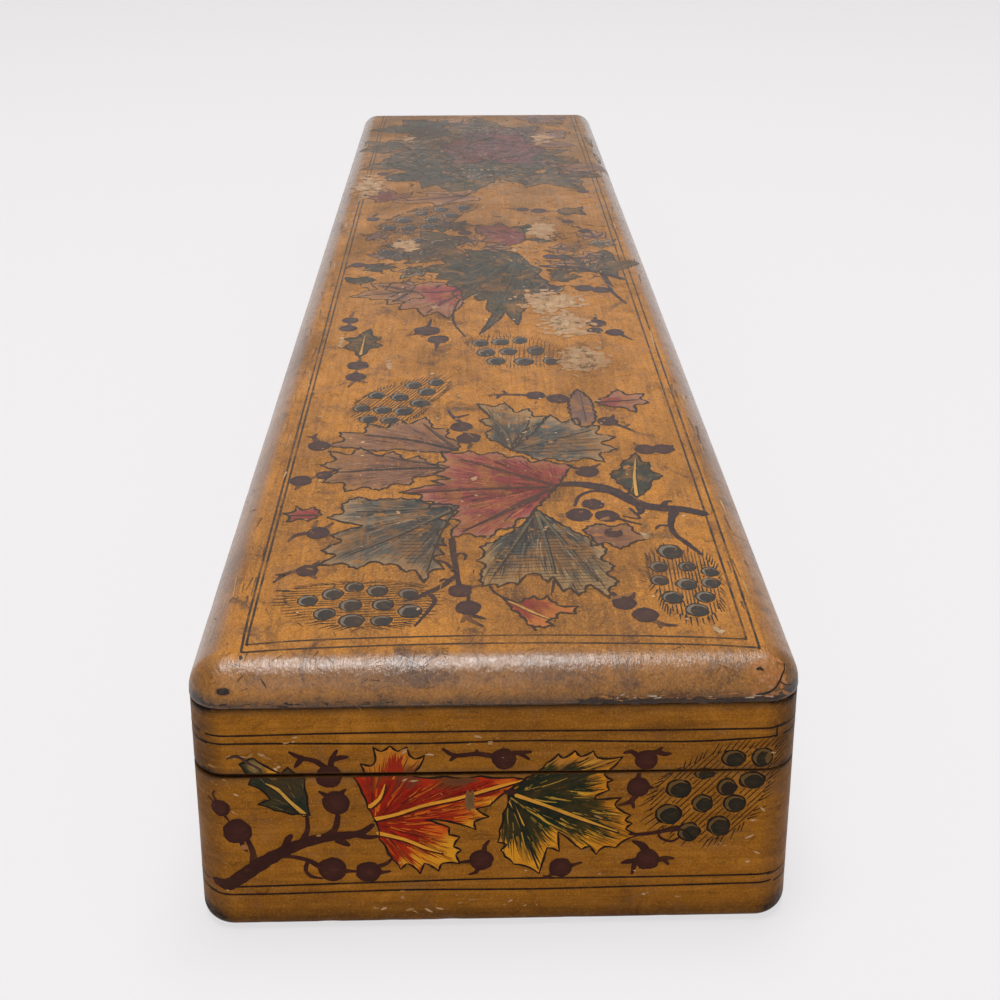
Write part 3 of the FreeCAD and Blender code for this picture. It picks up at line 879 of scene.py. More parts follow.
def toothed(tips, middle, gap=2.4, out=0.3):
    """Adds small teeth between the main tips of a leaf."""
    teeth = []
    for start, end in zip(tips, tips[1:] + tips[:1]):
        teeth.append(start)
        count = int(math.dist(start, end) / gap)
        for index in range(1, count + 1):
            share = index / (count + 1)
            spot = Vector(start).lerp(Vector(end), share)
            away = (spot - Vector(middle)).normalized() * out
            teeth.append((spot.x + away.x, spot.y + away.y))
    return teeth


def scalloped(tips, middle, bow):
    """An outline whose edge dips inwards between its tips."""
    outline = []
    for start, end in zip(tips, tips[1:] + tips[:1]):
        gap = math.dist(start, end)
        outline.append(start)
        if gap < 0.9:
            continue
        pieces = max(2, min(6, round(gap / 0.8)))
        halfway = Vector(((start[0] + end[0]) / 2, (start[1] + end[1]) / 2))
        inward = (Vector(middle) - halfway).normalized() * bow * gap * 2
        bend = halfway + inward
        for index in range(1, pieces):
            t = index / pieces
            outline.append((
                (1 - t) ** 2 * start[0] + 2 * t * (1 - t) * bend.x + t * t * end[0],
                (1 - t) ** 2 * start[1] + 2 * t * (1 - t) * bend.y + t * t * end[1],
            ))
    return outline


def paint_leaf(film, outline, base, tones, veins, seed, streaks, turn_at, line, glows=(), above=0.0):
    """A leaf: washed from its heart to its tips, combed with fine strokes, veined and outlined in ink."""
    heart, body, tip, comb_dark, comb_light, vein = tones
    chance = random.Random(seed)

    def tint_at(across, up):
        out = math.dist((across, up), base) / reach_to_edge(base, (across, up), outline)
        out += 0.2 * noise.noise(Vector((across / 1.3, up / 1.3, seed)))
        if out < turn_at:
            tint = blend(heart, body, out / turn_at)
        else:
            tint = blend(body, tip, (out - turn_at) / 0.2)
        for glow_across, glow_up, size, glow in glows:
            near = math.dist((across, up), (glow_across, glow_up)) / size
            near += 0.35 * noise.noise(Vector((across / 1.1, up / 1.1, seed + 5)))
            tint = blend(tint, glow, (1.15 - near) * 2.2)
        return tint

    low = [min(point[axis] for point in outline) for axis in (0, 1)]
    high = [max(point[axis] for point in outline) for axis in (0, 1)]
    size = math.dist(low, high)
    wash(film, outline, tint_at, 1 + above, 0.6 if size < 34 else 1.0)
    laid = 0
    tries = 0
    while laid < streaks and tries < streaks * 6:
        tries += 1
        start = (chance.uniform(low[0], high[0]), chance.uniform(low[1], high[1]))
        if not is_inside(start, outline):
            continue
        away = Vector((start[0] - base[0], start[1] - base[1]))
        if away.length < 0.5:
            continue
        long = chance.uniform(0.06, 0.2) * size * (1.25 if chance.random() < 0.3 else 0.8)
        way = away.normalized()
        bend = chance.uniform(-0.16, 0.16)
        end = (start[0] + (way.x - way.y * bend) * long, start[1] + (way.y + way.x * bend) * long)
        halfway = ((start[0] + end[0]) / 2 + way.y * 0.1, (start[1] + end[1]) / 2 - way.x * 0.1)
        if not is_inside(end, outline) or not is_inside(halfway, outline):
            continue
        pick = chance.random()
        if pick < 0.46:
            tint = blend(tint_at(*start), comb_dark, chance.uniform(0.0, 0.35))
        elif pick < 0.88:
            tint = blend(comb_dark, tint_at(*halfway), chance.uniform(0.0, 0.6))
        else:
            tint = blend(comb_light, tint_at(*halfway), chance.uniform(0.1, 0.7))
        wide = chance.uniform(0.09, 0.22) * max(0.8, min(size / 22.0, 2.2))
        stroke(film, [start, halfway, end], [wide, wide * 0.8, wide * 0.25], tint, 2 + above, 0.9)
        laid += 1
    for path in veins:
        wide = 0.62 if len(path) > 2 or math.dist(path[0], path[-1]) > 8 else 0.45
        shade = [(across + 0.1, up - 0.14) for across, up in path]
        taper = [wide] + [wide * 0.8] * (len(path) - 2) + [wide * 0.2]
        stroke(film, shade, [part + 0.3 for part in taper], blend(comb_dark, ink, 0.5), 3 + above, 0.8)
        stroke(film, path, taper, vein, 3.5 + above, 0.8)
    stroke_outline(film, outline + outline[:1], line, ink, 4.5 + above)


def stroke_outline(film, loop, line, tint, layer):
    """An inked outline that keeps its sharp tips."""
    piece = [loop[0]]
    for index in range(1, len(loop)):
        piece.append(loop[index])
        turn_here = 0.0
        if index < len(loop) - 1:
            a = Vector(loop[index]) - Vector(loop[index - 1])
            b = Vector(loop[index + 1]) - Vector(loop[index])
            if a.length > 1e-6 and b.length > 1e-6:
                turn_here = a.angle(b)
        if index == len(loop) - 1 or turn_here > 0.7 or len(piece) > 9:
            mid = max(1, len(piece) // 2)
            widths = [line * (0.65 + 0.75 * (1 - abs(part - mid) / mid)) for part in range(len(piece))]
            stroke(film, piece, widths, tint, layer, 0.6)
            piece = [loop[index]]


def berry(film, centre, radius, stems, tint, line):
    """A round berry with its calyx and stalks, all in one paint."""
    blot(film, centre, radius, blend(tint, pigment(88, 46, 38), 0.35), 3, tint)
    for stem in stems:
        taper = [line * 1.25] + [line] * (len(stem) - 2) + [line * 0.55]
        stroke(film, stem, taper, tint, 2)


def hatch(film, outline, slope, gap, hair, chance, beads, layer=2):
    """Fine parallel ink lines inside an outline, stopping short of the beads."""
    way = Vector((math.cos(slope), math.sin(slope)))
    over = Vector((-way.y, way.x))
    middle = Vector([sum(point[axis] for point in outline) for axis in (0, 1)]) / len(outline)
    far = max(math.dist(middle, point) for point in outline)
    line_at = -far
    while line_at < far:
        run = None
        along = -far
        foot = middle + over * line_at
        while along <= far:
            here = foot + way * along
            clear = all(
                ((here.x - x) / (wide * 1.08)) ** 2 + ((here.y - y) / (high * 1.08)) ** 2 > 1
                for x, y, wide, high, *rest in beads
            )
            if is_inside((here.x, here.y), outline) and clear:
                run = run or (here.x, here.y)
                last_here = (here.x, here.y)
            elif run:
                if math.dist(run, last_here) > 0.5:
                    stroke(film, [run, last_here], [hair, hair * 0.7], ink, layer, 1.2)
                run = None
            along += 0.25
        line_at += gap * chance.uniform(0.8, 1.2)


bead_skin = pigment(40, 38, 26)
bead_bloom = pigment(98, 72, 36)


def bramble(film, outline, beads, slope, seed, gap=0.66, hair=0.16, skin=bead_skin, bloom=bead_bloom):
    """A blackberry: hatching all one way, bristles round it, and ringed dark beads.

    Each bead has its place, width and height, and a fifth number if it is one of the browner ones.
    """
    chance = random.Random(seed)
    way = Vector((math.cos(slope), math.sin(slope)))
    middle = Vector([sum(point[axis] for point in outline) for axis in (0, 1)]) / len(outline)
    hatch(film, outline, slope, gap, hair, chance, beads)
    for across, up, at in brush_path(outline + outline[:1], 0.8):
        out = (Vector((across, up)) - middle).normalized()
        lean = out * 0.5 + way * (0.85 if out.dot(way) > 0 else -0.85)
        if chance.random() < 0.85:
            long = chance.uniform(0.6, 1.4)
            tip = (across + lean.x * long, up + lean.y * long)
            root = (across - lean.x * 0.4, up - lean.y * 0.4)
            stroke(film, [root, tip], [hair * 1.15, hair * 0.5], ink, 2, 1.0)
    for bead in beads:
        wide, high = bead[2], bead[3]
        paint_bead = skin if len(bead) < 5 else pigment(34, 24, 20)
        lean = chance.uniform(-0.5, 0.5)
        blot(film, bead[:2], (wide * 1.04, high * 1.04), pigment(26, 19, 12), 3)
        blot(film, bead[:2], (wide * 0.86, high * 0.86), bloom, 4)
        shift = (bead[0] + 0.16 * wide * math.cos(lean), bead[1] - 0.14 * high)
        blot(film, shift, (wide * 0.76, high * 0.78), paint_bead, 5, pigment(30, 28, 20))


def ruled(film, through, width=0.3):
    """A line ruled with the brush, running a little thick and thin."""
    stroke(film, through, width, ink, 1, 0.4)


def scratch(film, spot, long, slant, widths, tint, layer, spacing):
    """A short straight stroke from a spot, slant radians round."""
    tip = (spot[0] + long * math.cos(slant), spot[1] + long * math.sin(slant))
    stroke(film, [spot, tip], widths, tint, layer, spacing)


def dry(film, name, place_of, base_lift, low=None, high=None):
    """Lays a film on its surface, between two cut edges if it has them.

    place_of turns across, lift and up into a point; low and high give the edges' height.
    """
    copy = film.copy()
    for level_at, way in ((low, -1), (high, 1)):
        if level_at is None:
            continue
        for point in copy.verts:
            point.co.y -= level_at(point.co.x)
        whole = copy.verts[:] + copy.edges[:] + copy.faces[:]
        bmesh.ops.bisect_plane(
            copy, geom=whole, plane_co=(0, 0, 0), plane_no=(0, way, 0), clear_outer=True
        )
        for point in copy.verts:
            point.co.y += level_at(point.co.x)
    stack = copy.verts.layers.float["stack"]
    for point in copy.verts:
        lift = base_lift + point[stack]
        point.co = Vector(place_of(point.co.x, lift, point.co.y)) / 1000.0
    return as_mesh(name, copy, False)


def base_edge(run):
    """How high the painting reaches on the base: to the wear at its rim."""
    return 25.17


def lid_edge(run):
    """How low the painting reaches on the lid: to the wear at its rim."""
    return lid_rim(around(run)[0].y) + 0.1


def film_finish(name, streak_run, worn_from, ground, faded, deep, shine, coat):
    """Paint under varnish: its washes faded in soft patches, and all of it rubbed here and there."""
    finish, recipe, place = new_finish(name)
    rubs = mottle(recipe, place, (2.1, 2.1, 1.7), 6.0, 0.72, 0.8)
    brushed = mottle(recipe, place, (0.9, 0.9, 0.5), 3.0, 0.6)
    tired = mottle(recipe, place, (5.5, 5.5, 4.5), 5.0, 0.65, 0.9)
    paint = point_value(recipe, "paint", "Color")
    tone = tint_where(recipe, paint, brushed, 0.5, 0.75, 0.08 + 0.2 * faded, ground)
    wash_only = where_over(recipe, point_value(recipe, "stack"), 0.0142, 0.0149, 1.0, 0.0)
    gone = both(recipe, wash_only, where_over(recipe, tired, 0.46, 0.64, 0.0, faded))
    tone = glaze(recipe, gone, tone, ground)
    tone = tint_where(recipe, tone, rubs, worn_from, worn_from + 0.07, 0.8, ground)
    colour, clouds, streaks, blots = old_varnish(recipe, place, tone, streak_run, deep, 0.6, 0.12)
    varnished(recipe, colour, clouds, blots, 0.55, relief(recipe, streaks, 0.05, 0.5), shine, coat, 0.2)
    return finish


ochre = pigment(146, 90, 18)
side_film = film_finish("painting_on_the_sides", side_streaks, 0.67, ochre, 0.1, 0.3, 0.06, 0.0)
film_lift = 0.078


def lay_across_seam(film, part, place_of):
    """Lays a film on a side of the box: what is below the seam on the base, and the rest on the lid."""
    for body, low, high in (("base", None, base_edge), ("lid", lid_edge, None)):
        name = body + part
        new_piece(name, dry(film, name, place_of, film_lift, low, high), body, side_film)


def leaf_tones(*mixes):
    """A leaf's paints: heart, body and tips, the dark and light strokes combed over it, and the veins."""
    return [pigment(*mix) for mix in mixes]


orange = pigment(206, 96, 18)
dull_gold = pigment(182, 112, 30)
red_leaf = leaf_tones((144, 16, 3), (170, 30, 4), (184, 58, 8), (84, 14, 6), (220, 116, 18), (220, 148, 42))
green_leaf = leaf_tones(
    (6, 28, 22), (14, 44, 20), (204, 128, 22), (10, 24, 16), (206, 158, 50), (206, 146, 50),
)
small_green = leaf_tones(
    (34, 42, 34), (32, 42, 30), (44, 48, 28), (18, 22, 16), (112, 98, 50), (196, 148, 60),
)
deep_red = leaf_tones(
    (140, 20, 34), (144, 56, 56), (154, 102, 76), (44, 12, 17), (174, 104, 64), (70, 30, 28),
)
rust = leaf_tones((108, 66, 50), (132, 88, 62), (152, 106, 64), (34, 24, 21), (176, 134, 88), (68, 48, 37))
slate = leaf_tones((24, 37, 42), (78, 81, 74), (148, 118, 82), (9, 16, 18), (162, 138, 104), (88, 80, 62))
moss = leaf_tones((15, 30, 35), (68, 72, 64), (150, 120, 78), (7, 12, 14), (166, 142, 104), (92, 84, 62))
fresh_red = leaf_tones(
    (150, 26, 22), (158, 44, 34), (190, 108, 44), (52, 12, 14), (218, 158, 70), (208, 152, 76),
)


def maple(film, base, heading, size, tones, seed, streaks, slim, line=0.24, above=0.0):
    """A maple leaf of the decorator's usual pattern, growing from its base at its heading in degrees."""
    chance = random.Random(seed)
    outline = [base]
    turned = math.radians(heading)
    for angle, reach in (
        (-118, 0.3), (-104, 0.56), (-84, 0.46), (-66, 0.7), (-52, 0.9), (-42, 0.66), (-31, 0.55),
        (-19, 0.78), (-9, 0.86), (0, 1.0), (10, 0.84), (20, 0.77), (31, 0.56), (43, 0.68), (53, 0.88),
        (67, 0.68), (85, 0.48), (104, 0.54), (120, 0.3),
    ):
        angle = math.radians(angle * chance.uniform(0.94, 1.06))
        reach *= size * chance.uniform(0.9, 1.08)
        ahead, aside = reach * math.cos(angle), reach * math.sin(angle) * slim
        across = base[0] + ahead * math.cos(turned) - aside * math.sin(turned)
        up = base[1] + ahead * math.sin(turned) + aside * math.cos(turned)
        outline.append((across, up))
    middle = (base[0] + 0.45 * size * math.cos(turned), base[1] + 0.45 * size * math.sin(turned))
    veins = []
    for index, share in ((10, 0.86), (5, 0.8), (15, 0.8)):
        tip = outline[index]
        way = (tip[0] - base[0], tip[1] - base[1])
        bend = (base[0] + way[0] * 0.45 + 0.2, base[1] + way[1] * 0.45)
        veins.append([base, bend, (base[0] + way[0] * share, base[1] + way[1] * share)])
    leaf = scalloped(toothed(outline, middle, size * 0.13, size * 0.014), middle, 0.2)
    paint_leaf(film, leaf, base, tones, veins, seed, streaks, 0.62, line, above=above)


# The near end's painting: a maroon twig across the corner, a red and gold leaf, a green and gold one and a
# bramble, between two pairs of ruled lines. It is the least faded, and it crosses the seam.
spray = new_film()
for line in (
    [(-39.4, 32.0), (-37.5, 32.0), (-34, 32.0), (-20, 32.2), (0, 32.2), (20, 32.0), (36, 32.0),
     (38.2, 32.1), (39.6, 32.3)],
    [(-40.2, 30.7), (-39, 30.7), (-37.8, 30.7), (-30, 30.7), (-10, 30.4), (5, 30.6), (25, 30.1),
     (34, 30.4), (38.6, 30.7)],
    [(-39.4, 7.3), (-36, 7.2), (-25, 7.4), (-15, 7.6), (0, 7.85), (20, 7.75), (39, 7.85)],
    [(-40.2, 6.0), (-38.8, 5.9), (-37, 5.9), (-30, 5.9), (-20, 6.1), (-10, 6.2), (5, 6.0), (22, 6.2),
     (39, 6.45)],
):
    ruled(spray, line)
stroke(spray, [(38.5, 30.5), (38.5, 32.3)], 0.22, ink, 1)

for layer, path, widths in (
    (3,
     [(-39.4, 7.9), (-37.6, 7.6), (-36, 8.6), (-33, 10.9), (-30, 12.8), (-27, 14.3), (-24, 15.2),
      (-20.5, 15.6), (-18.6, 16.0), (-17.0, 17.3)],
     [1.1, 2.0, 2.1, 2.2, 1.9, 1.7, 1.5, 1.3, 1.1, 0.7]),
    (3, [(-19.4, 15.7), (-17.6, 15.2), (-16.2, 15.4)], [1.0, 0.75, 0.4]),
    (3, [(-29.2, 13.9), (-28.8, 15.2), (-28.4, 15.7)], [1.3, 1.0, 0.7]),
    (3, [(-22, 15), (-21, 14.3), (-20.4, 13.9)], [1.3, 1.0, 0.5]),
    (2, [(-33.8, 11.2), (-33.8, 12.8), (-34.2, 14.4), (-34.7, 15.8)], [1.3, 0.9, 0.8, 0.6]),
    (2, [(-26.9, 14.8), (-26.1, 16.6), (-26.1, 19.0)], [1.0, 0.7, 0.5]),
    (2, [(-23.6, 15.4), (-22.3, 16.6), (-21.8, 18.8)], [1.2, 0.9, 0.8]),
    (2, [(-30.6, 12.3), (-28.2, 12.1), (-26.2, 11.5), (-24.6, 10.4)], [0.6, 0.6, 0.7, 0.9]),
    (2, [(-26.3, 11.2), (-26.6, 9.9), (-25.9, 8.8), (-24.3, 8.4)], [0.6, 0.6, 0.6, 0.3]),
):
    stroke(spray, path, widths, maroon, layer)
for centre, radius, stems, line in (
    ((-37.9, 20.3), 1.35,
     [[(-38.3, 21.2), (-38.9, 22.4), (-38.5, 23.1)], [(-37.4, 19.2), (-36.8, 18.2)],
      [(-38.9, 21.2), (-39.6, 21.8)]],
     0.35),
    ((-35.8, 16.5), 2.05, [[(-34.6, 15.4), (-33.9, 13.2)], [(-35.3, 14.9), (-35.1, 13.9), (-34.6, 13.2)]],
     0.62),
):
    berry(spray, centre, radius, stems, maroon, line)
blot(spray, (-34.9, 13.9), (0.5, 0.45), pigment(150, 100, 60), 4)
for centre, radius, stems, line in (
    ((-22.0, 21.0), 1.9,
     [[(-21.9, 19.4), (-21.8, 18.2)], [(-23.3, 22.2), (-24.3, 22.9)], [(-21.2, 22.6), (-20.6, 23.2)]],
     0.62),
    ((-22.8, 25.3), 1.85,
     [[(-22.6, 26.6), (-22.3, 28.2), (-21.6, 29.5)],
      [(-22.2, 28.1), (-21.2, 28.3), (-20.2, 28.4)],
      [(-23.3, 26.7), (-24.6, 27.8), (-26.6, 28.4), (-28.1, 29.3)],
      [(-26.4, 28.3), (-26.9, 27.6), (-27.4, 26.9)]],
     0.75),
    ((-22.9, 9.9), 2.05, [[(-21, 9.6), (-19.6, 9.5)]], 0.62),
    ((-17.85, 9.4), 1.8, [[(-16.6, 10.2), (-15.2, 10.8), (-14.6, 11.5)], [(-16.4, 9.2), (-14.8, 9.4)]],
     0.62),
    ((-2.0, 11.1), 1.7,
     [[(-1.6, 12.4), (-1.5, 13.5), (-0.9, 14.3)], [(-2.4, 9.9), (-2.8, 9.0), (-3.7, 8.7)],
      [(-3.4, 10.9), (-5.2, 10.7)]],
     0.62),
    ((1.1, 27.7), 1.7,
     [[(2.4, 28.6), (3.6, 28.7), (4.9, 28.8)], [(3.4, 28.6), (4.6, 27.6)],
      [(-0.4, 28.2), (-2.6, 28.6), (-5.6, 28.4), (-7.2, 29.5)], [(-5.4, 28.4), (-6.2, 27.6)],
      [(-2.6, 28.6), (-2.5, 29.2)]],
     0.7),
    ((20.7, 27.2), 1.6,
     [[(19.4, 28), (18.6, 28.6), (17.6, 28.4)], [(21.6, 28.3), (22.2, 28.6), (22.8, 29.2)],
      [(22.2, 28.5), (23.2, 28.1), (24.0, 28.2)]],
     0.7),
    ((19.7, 22.8), 1.6,
     [[(19.6, 24.2), (19.9, 25.6)], [(19.4, 21.4), (18.6, 20.4), (17.0, 19.8)],
      [(18.8, 20.7), (19.2, 19.4)], [(21, 22.8), (21.7, 22.7)]],
     0.7),
    ((21.3, 10.7), 1.75,
     [[(20.9, 12.2), (20.2, 13.2), (19.2, 13.8)], [(22.8, 10.6), (24, 10.9), (25, 10.8)],
      [(23.6, 10.8), (24.3, 9.8)], [(19.9, 10.6), (18.6, 10.4), (17.7, 10.2)], [(19.6, 10.3), (19.2, 8.3)]],
     0.75),
):
    berry(spray, centre, radius, stems, maroon, line)
stroke(spray, [(19.2, 13.8), (20.5, 13.2), (21.4, 12.0)], [0.3, 1.1, 0.8], maroon, 3)
berry(
    spray, (9.1, 9.6), 1.65,
    [[(10.4, 9.8), (11.2, 10.1), (12.1, 10.4)], [(8.0, 8.6), (7.3, 8.0), (6.7, 8.2)]], maroon, 0.55,
)

leaf_low = [
    (-25.6, 19.0), (-25.9, 22.0), (-26.1, 25.0), (-28.4, 26.9), (-29.3, 25.9), (-31.2, 27.0), (-33, 28.4),
    (-33.6, 28.3), (-35, 27.5), (-34.2, 26.2), (-33.4, 25.4), (-33.9, 24.2), (-32.4, 23.5), (-31.0, 21.7),
    (-32.8, 20.9), (-30.5, 19.9), (-28.2, 19.2),
]
leaf_low = scalloped(leaf_low, (-30, 24), 0.07)
paint_leaf(
    spray, leaf_low, (-25.6, 19.0), small_green,
    [[(-26.4, 19.2), (-28.4, 21.4), (-29.9, 23.3), (-31.5, 24.3)]], 5, 120, 0.8, 0.24,
    [(-30.4, 26.4, 1.2, gold), (-32.8, 27.0, 1.0, pigment(150, 120, 70))],
)
stroke(
    spray, [(-36.6, 28.4), (-35.2, 28.8), (-33.6, 27.6), (-32, 26.6)], [0.2, 0.5, 0.4, 0.2],
    pigment(70, 46, 40), 6,
)

leaf_red = [
    (-16.9, 18.4), (-17.7, 20.1), (-18.4, 22.6), (-19.5, 25.2), (-17.9, 25.6), (-18.5, 27.3),
    (-17.0, 26.9), (-16.4, 27.8), (-16.7, 29.9), (-15.6, 29.2), (-14.4, 30.1), (-13.4, 29.2),
    (-12.1, 29.9), (-11.8, 28.6), (-11, 27.9), (-9.7, 28.5), (-10.2, 27.1), (-11, 26.0), (-11.4, 25.2),
    (-7, 25.1), (-2, 25.0), (2.4, 24.7), (4.1, 24.4), (2.0, 22.8), (-0.2, 20.8), (-0.8, 20.2),
    (-2.7, 19.6), (-0.9, 18.3), (-3.0, 17.5), (-2.7, 16.2), (-4.0, 16.8), (-6.4, 17.6), (-9.8, 17.9),
    (-8.0, 17.3), (-6.4, 16.6), (-6.5, 15.4), (-5, 15.0), (-5.9, 13.4), (-4.8, 12.8), (-5.6, 12.0),
    (-5, 10.5), (-7, 10.7), (-7.6, 10.6), (-8, 9.3), (-8.9, 10.1), (-10, 10.7), (-10.6, 8.9),
    (-11.6, 10.2), (-12.5, 10.7), (-13.3, 9.7), (-14.4, 11.4), (-15, 12.4), (-16.2, 14.9),
]
leaf_red = scalloped(leaf_red, (-9, 19), 0.08)
paint_leaf(
    spray, leaf_red, (-16.9, 17.6), red_leaf,
    [[(-16.8, 18.2), (-13.5, 19.0), (-10, 20.3), (-5, 21.5), (0, 23.1), (4, 24.3)],
     [(-16.4, 15.9), (-12.8, 14.8), (-10, 13.4), (-7.5, 12.4)],
     [(-17.4, 20.3), (-16, 21.6), (-15.2, 23.9)]],
    11, 520, 0.9, 0.26,
    [(-9.2, 11.6, 2.3, gold), (-12.0, 10.6, 1.5, gold), (-6.6, 13.4, 2.4, gold), (-8.6, 15.6, 1.7, orange),
     (-6.2, 11.0, 1.6, gold), (-13.6, 14.6, 1.9, pigment(172, 30, 5)), (-4.0, 16.9, 1.3, gold),
     (-2.2, 19.0, 2.0, gold), (-0.8, 20.2, 1.5, gold), (-4.6, 19.0, 1.6, orange), (1.4, 23.0, 1.8, orange),
     (-16.6, 27.6, 2.5, dull_gold), (-11.6, 27.8, 2.7, dull_gold), (-14.2, 29.2, 1.7, dull_gold),
     (-6.4, 24.7, 2.4, pigment(110, 56, 26)), (-12.0, 24.8, 2.0, pigment(104, 52, 30))],
)
for flame in (
    [(-14.6, 25.6), (-14.4, 28.2)], [(-13.8, 25.6), (-13.7, 28.9)], [(-13.0, 25.6), (-13.0, 27.8)],
    [(-13.4, 25.6), (-13.3, 28.4)], [(-14.1, 25.6), (-14.0, 28.6)],
):
    stroke(spray, flame, [0.8, 0.15], pigment(150, 36, 12), 4)
blot(spray, (-3.5, 21.0), (0.7, 1.7), pigment(96, 70, 46), 6, pigment(120, 86, 48), 0.3)
blot(spray, (-5.2, 24.2), (2.4, 0.6), pigment(92, 56, 34), 5, pigment(110, 60, 30), 0.3)

leaf_green = [
    (1.6, 22.3), (2.6, 23.2), (4.2, 24.6), (5.8, 25.6), (7, 27.0), (8.6, 28.4), (9.2, 27.7), (10.9, 28.9),
    (11.7, 27.9), (13.4, 28.8), (14, 27.7), (17.5, 27.8), (16.5, 26.5), (15.6, 25.6), (14.9, 25.0),
    (16.2, 24), (15.4, 23.7), (15.7, 22.4), (13.8, 21.5), (13.8, 20.9), (17.4, 21.1), (16.5, 20),
    (17.4, 19), (18.8, 18.2), (18, 17.3), (19, 16.8), (18.1, 15.9), (19.8, 14.8), (16.8, 12.8), (15.2, 13),
    (14.1, 11.7), (13.2, 13.1), (12, 12.6), (11.2, 13.3), (8.7, 15.6), (8.9, 12.3), (7.2, 13), (6.7, 11),
    (6.1, 8.6), (2.5, 10.3), (1.3, 11.6), (0.7, 12.7), (1.6, 13.6), (0.3, 14), (0.5, 16), (1, 18.8),
    (1.7, 20.6),
]
leaf_green = scalloped(leaf_green, (8, 19.5), 0.1)
paint_leaf(
    spray, leaf_green, (1.6, 21.9), green_leaf,
    [[(2.8, 21.8), (7, 20.0), (12, 17.7), (17, 15.5)], [(2.1, 20.8), (3.0, 18.8), (4.0, 16.7)]], 23, 620,
    0.74, 0.27,
    [(13.6, 27.4, 2.6, pigment(176, 116, 40)), (9.0, 27.4, 1.3, pigment(176, 116, 40)),
     (8.0, 14.6, 1.9, gold), (2.0, 12.2, 2.4, gold), (6.0, 11.0, 2.0, gold), (12.4, 14.0, 1.9, gold),
     (9.6, 24.2, 1.8, pigment(40, 44, 26))],
)
stroke(
    spray, [(2.2, 20.9), (3.6, 16.6), (5.0, 12.4), (6.0, 9.4)], [0.5, 0.45, 0.35, 0.2],
    pigment(24, 34, 24), 5,
)
blot(spray, (2.0, 22.3), (1.0, 0.45), pigment(52, 26, 22), 5, maroon, 0.2)

stroke(
    spray, [(18.6, 15.0), (20.5, 15.0), (22.6, 15.3), (24.2, 15.7), (25.4, 15.9)],
    [0.3, 0.55, 0.6, 0.8, 1.0], maroon, 6,
)
stroke(spray, [(22.6, 15.2), (23.2, 14.2), (24.6, 13.7), (25.6, 14.3)], [0.25, 0.4, 0.4, 0.3], maroon, 6)
stroke(spray, [(24.9, 15.9), (26.6, 15.4), (27.6, 14.0)], [0.3, 0.3, 0.2], ink, 6)
fruit = [
    (21.3, 20.5), (21.5, 18.2), (23, 16.0), (25.2, 14.2), (28, 13.4), (31, 13.9), (34, 15.8), (35.9, 18),
    (37, 20.5), (38.1, 23.4), (38.7, 26.4), (38.8, 29.2), (36.6, 29.4), (34.2, 29.2), (30, 28.4),
    (27.5, 27), (24.5, 25.3), (22.6, 23.6),
]
bramble(
    spray, fruit,
    [(25.3, 22.5, 1.8, 1.5), (24, 18.3, 1.85, 1.65), (28.7, 20, 1.45, 1.5), (27, 15.3, 1.6, 1.6),
     (31.1, 16.2, 1.65, 1.65), (33.2, 19.9, 1.6, 1.45), (32, 22.6, 1.4, 1.4, 1), (35.4, 23.7, 1.8, 1.35),
     (28.8, 24.9, 1.4, 0.9), (32.7, 27.3, 1.7, 1.35), (36.7, 27.4, 1.5, 1.55)],
    math.radians(48), 3,
)

chance = random.Random(17)
for across, up, wide, high, count in (
    (-33.6, 28.2, 3.2, 1.0, 16), (-31, 26.9, 2.0, 0.7, 8), (-2, 30.6, 2.4, 1.0, 9),
    (-10, 29.4, 2.6, 0.8, 5), (-13.6, 5.2, 0.8, 0.8, 6), (-16, 3.2, 2.2, 0.4, 6), (-9.6, 3.0, 3.0, 0.5, 8),
    (-4, 4.6, 2.6, 0.8, 8), (3.4, 3.6, 2.6, 0.5, 8), (24, 4.8, 3.2, 0.6, 7), (-37, 16, 1.6, 5.0, 8),
    (-38, 27, 1.4, 3.4, 8), (37, 14, 1.6, 5.4, 8), (31, 13.2, 2.6, 0.7, 8), (15.8, 17.6, 1.6, 0.6, 4),
    (-12, 24.6, 1.0, 0.5, 4), (17.8, 22.2, 0.8, 0.3, 3), (-28.6, 31.2, 2.0, 0.5, 6), (0, 18, 40, 12, 30),
):
    for index in range(count):
        spot = (across + chance.uniform(-wide, wide), up + chance.uniform(-high, high))
        if abs(spot[0]) > 40:
            continue
        slant = chance.uniform(-0.7, 0.7)
        if index % 2:
            continue
        bright = blend(pigment(164, 116, 62), pigment(214, 182, 140), chance.random() ** 1.5)
        size = chance.uniform(0.1, 0.34)
        radii = (size * chance.uniform(1.0, 2.4), size * 0.6)
        blot(spray, spot, radii, bright, 6, blend(bright, ochre, 0.4), 0.35, slant)
for index in range(90):
    spot = (chance.uniform(-39.5, 39.5), chance.uniform(2.2, 35.6))
    long, slant = chance.uniform(0.2, 1.2), chance.gauss(0, 0.5)
    scratch(spray, spot, long, slant, [0.05, chance.uniform(0.06, 0.14)], pigment(84, 52, 20), 1, 0.4)
lay_across_seam(spray, "_end_painting", lambda across, lift, up: belt(round_corner(across), lift, up))


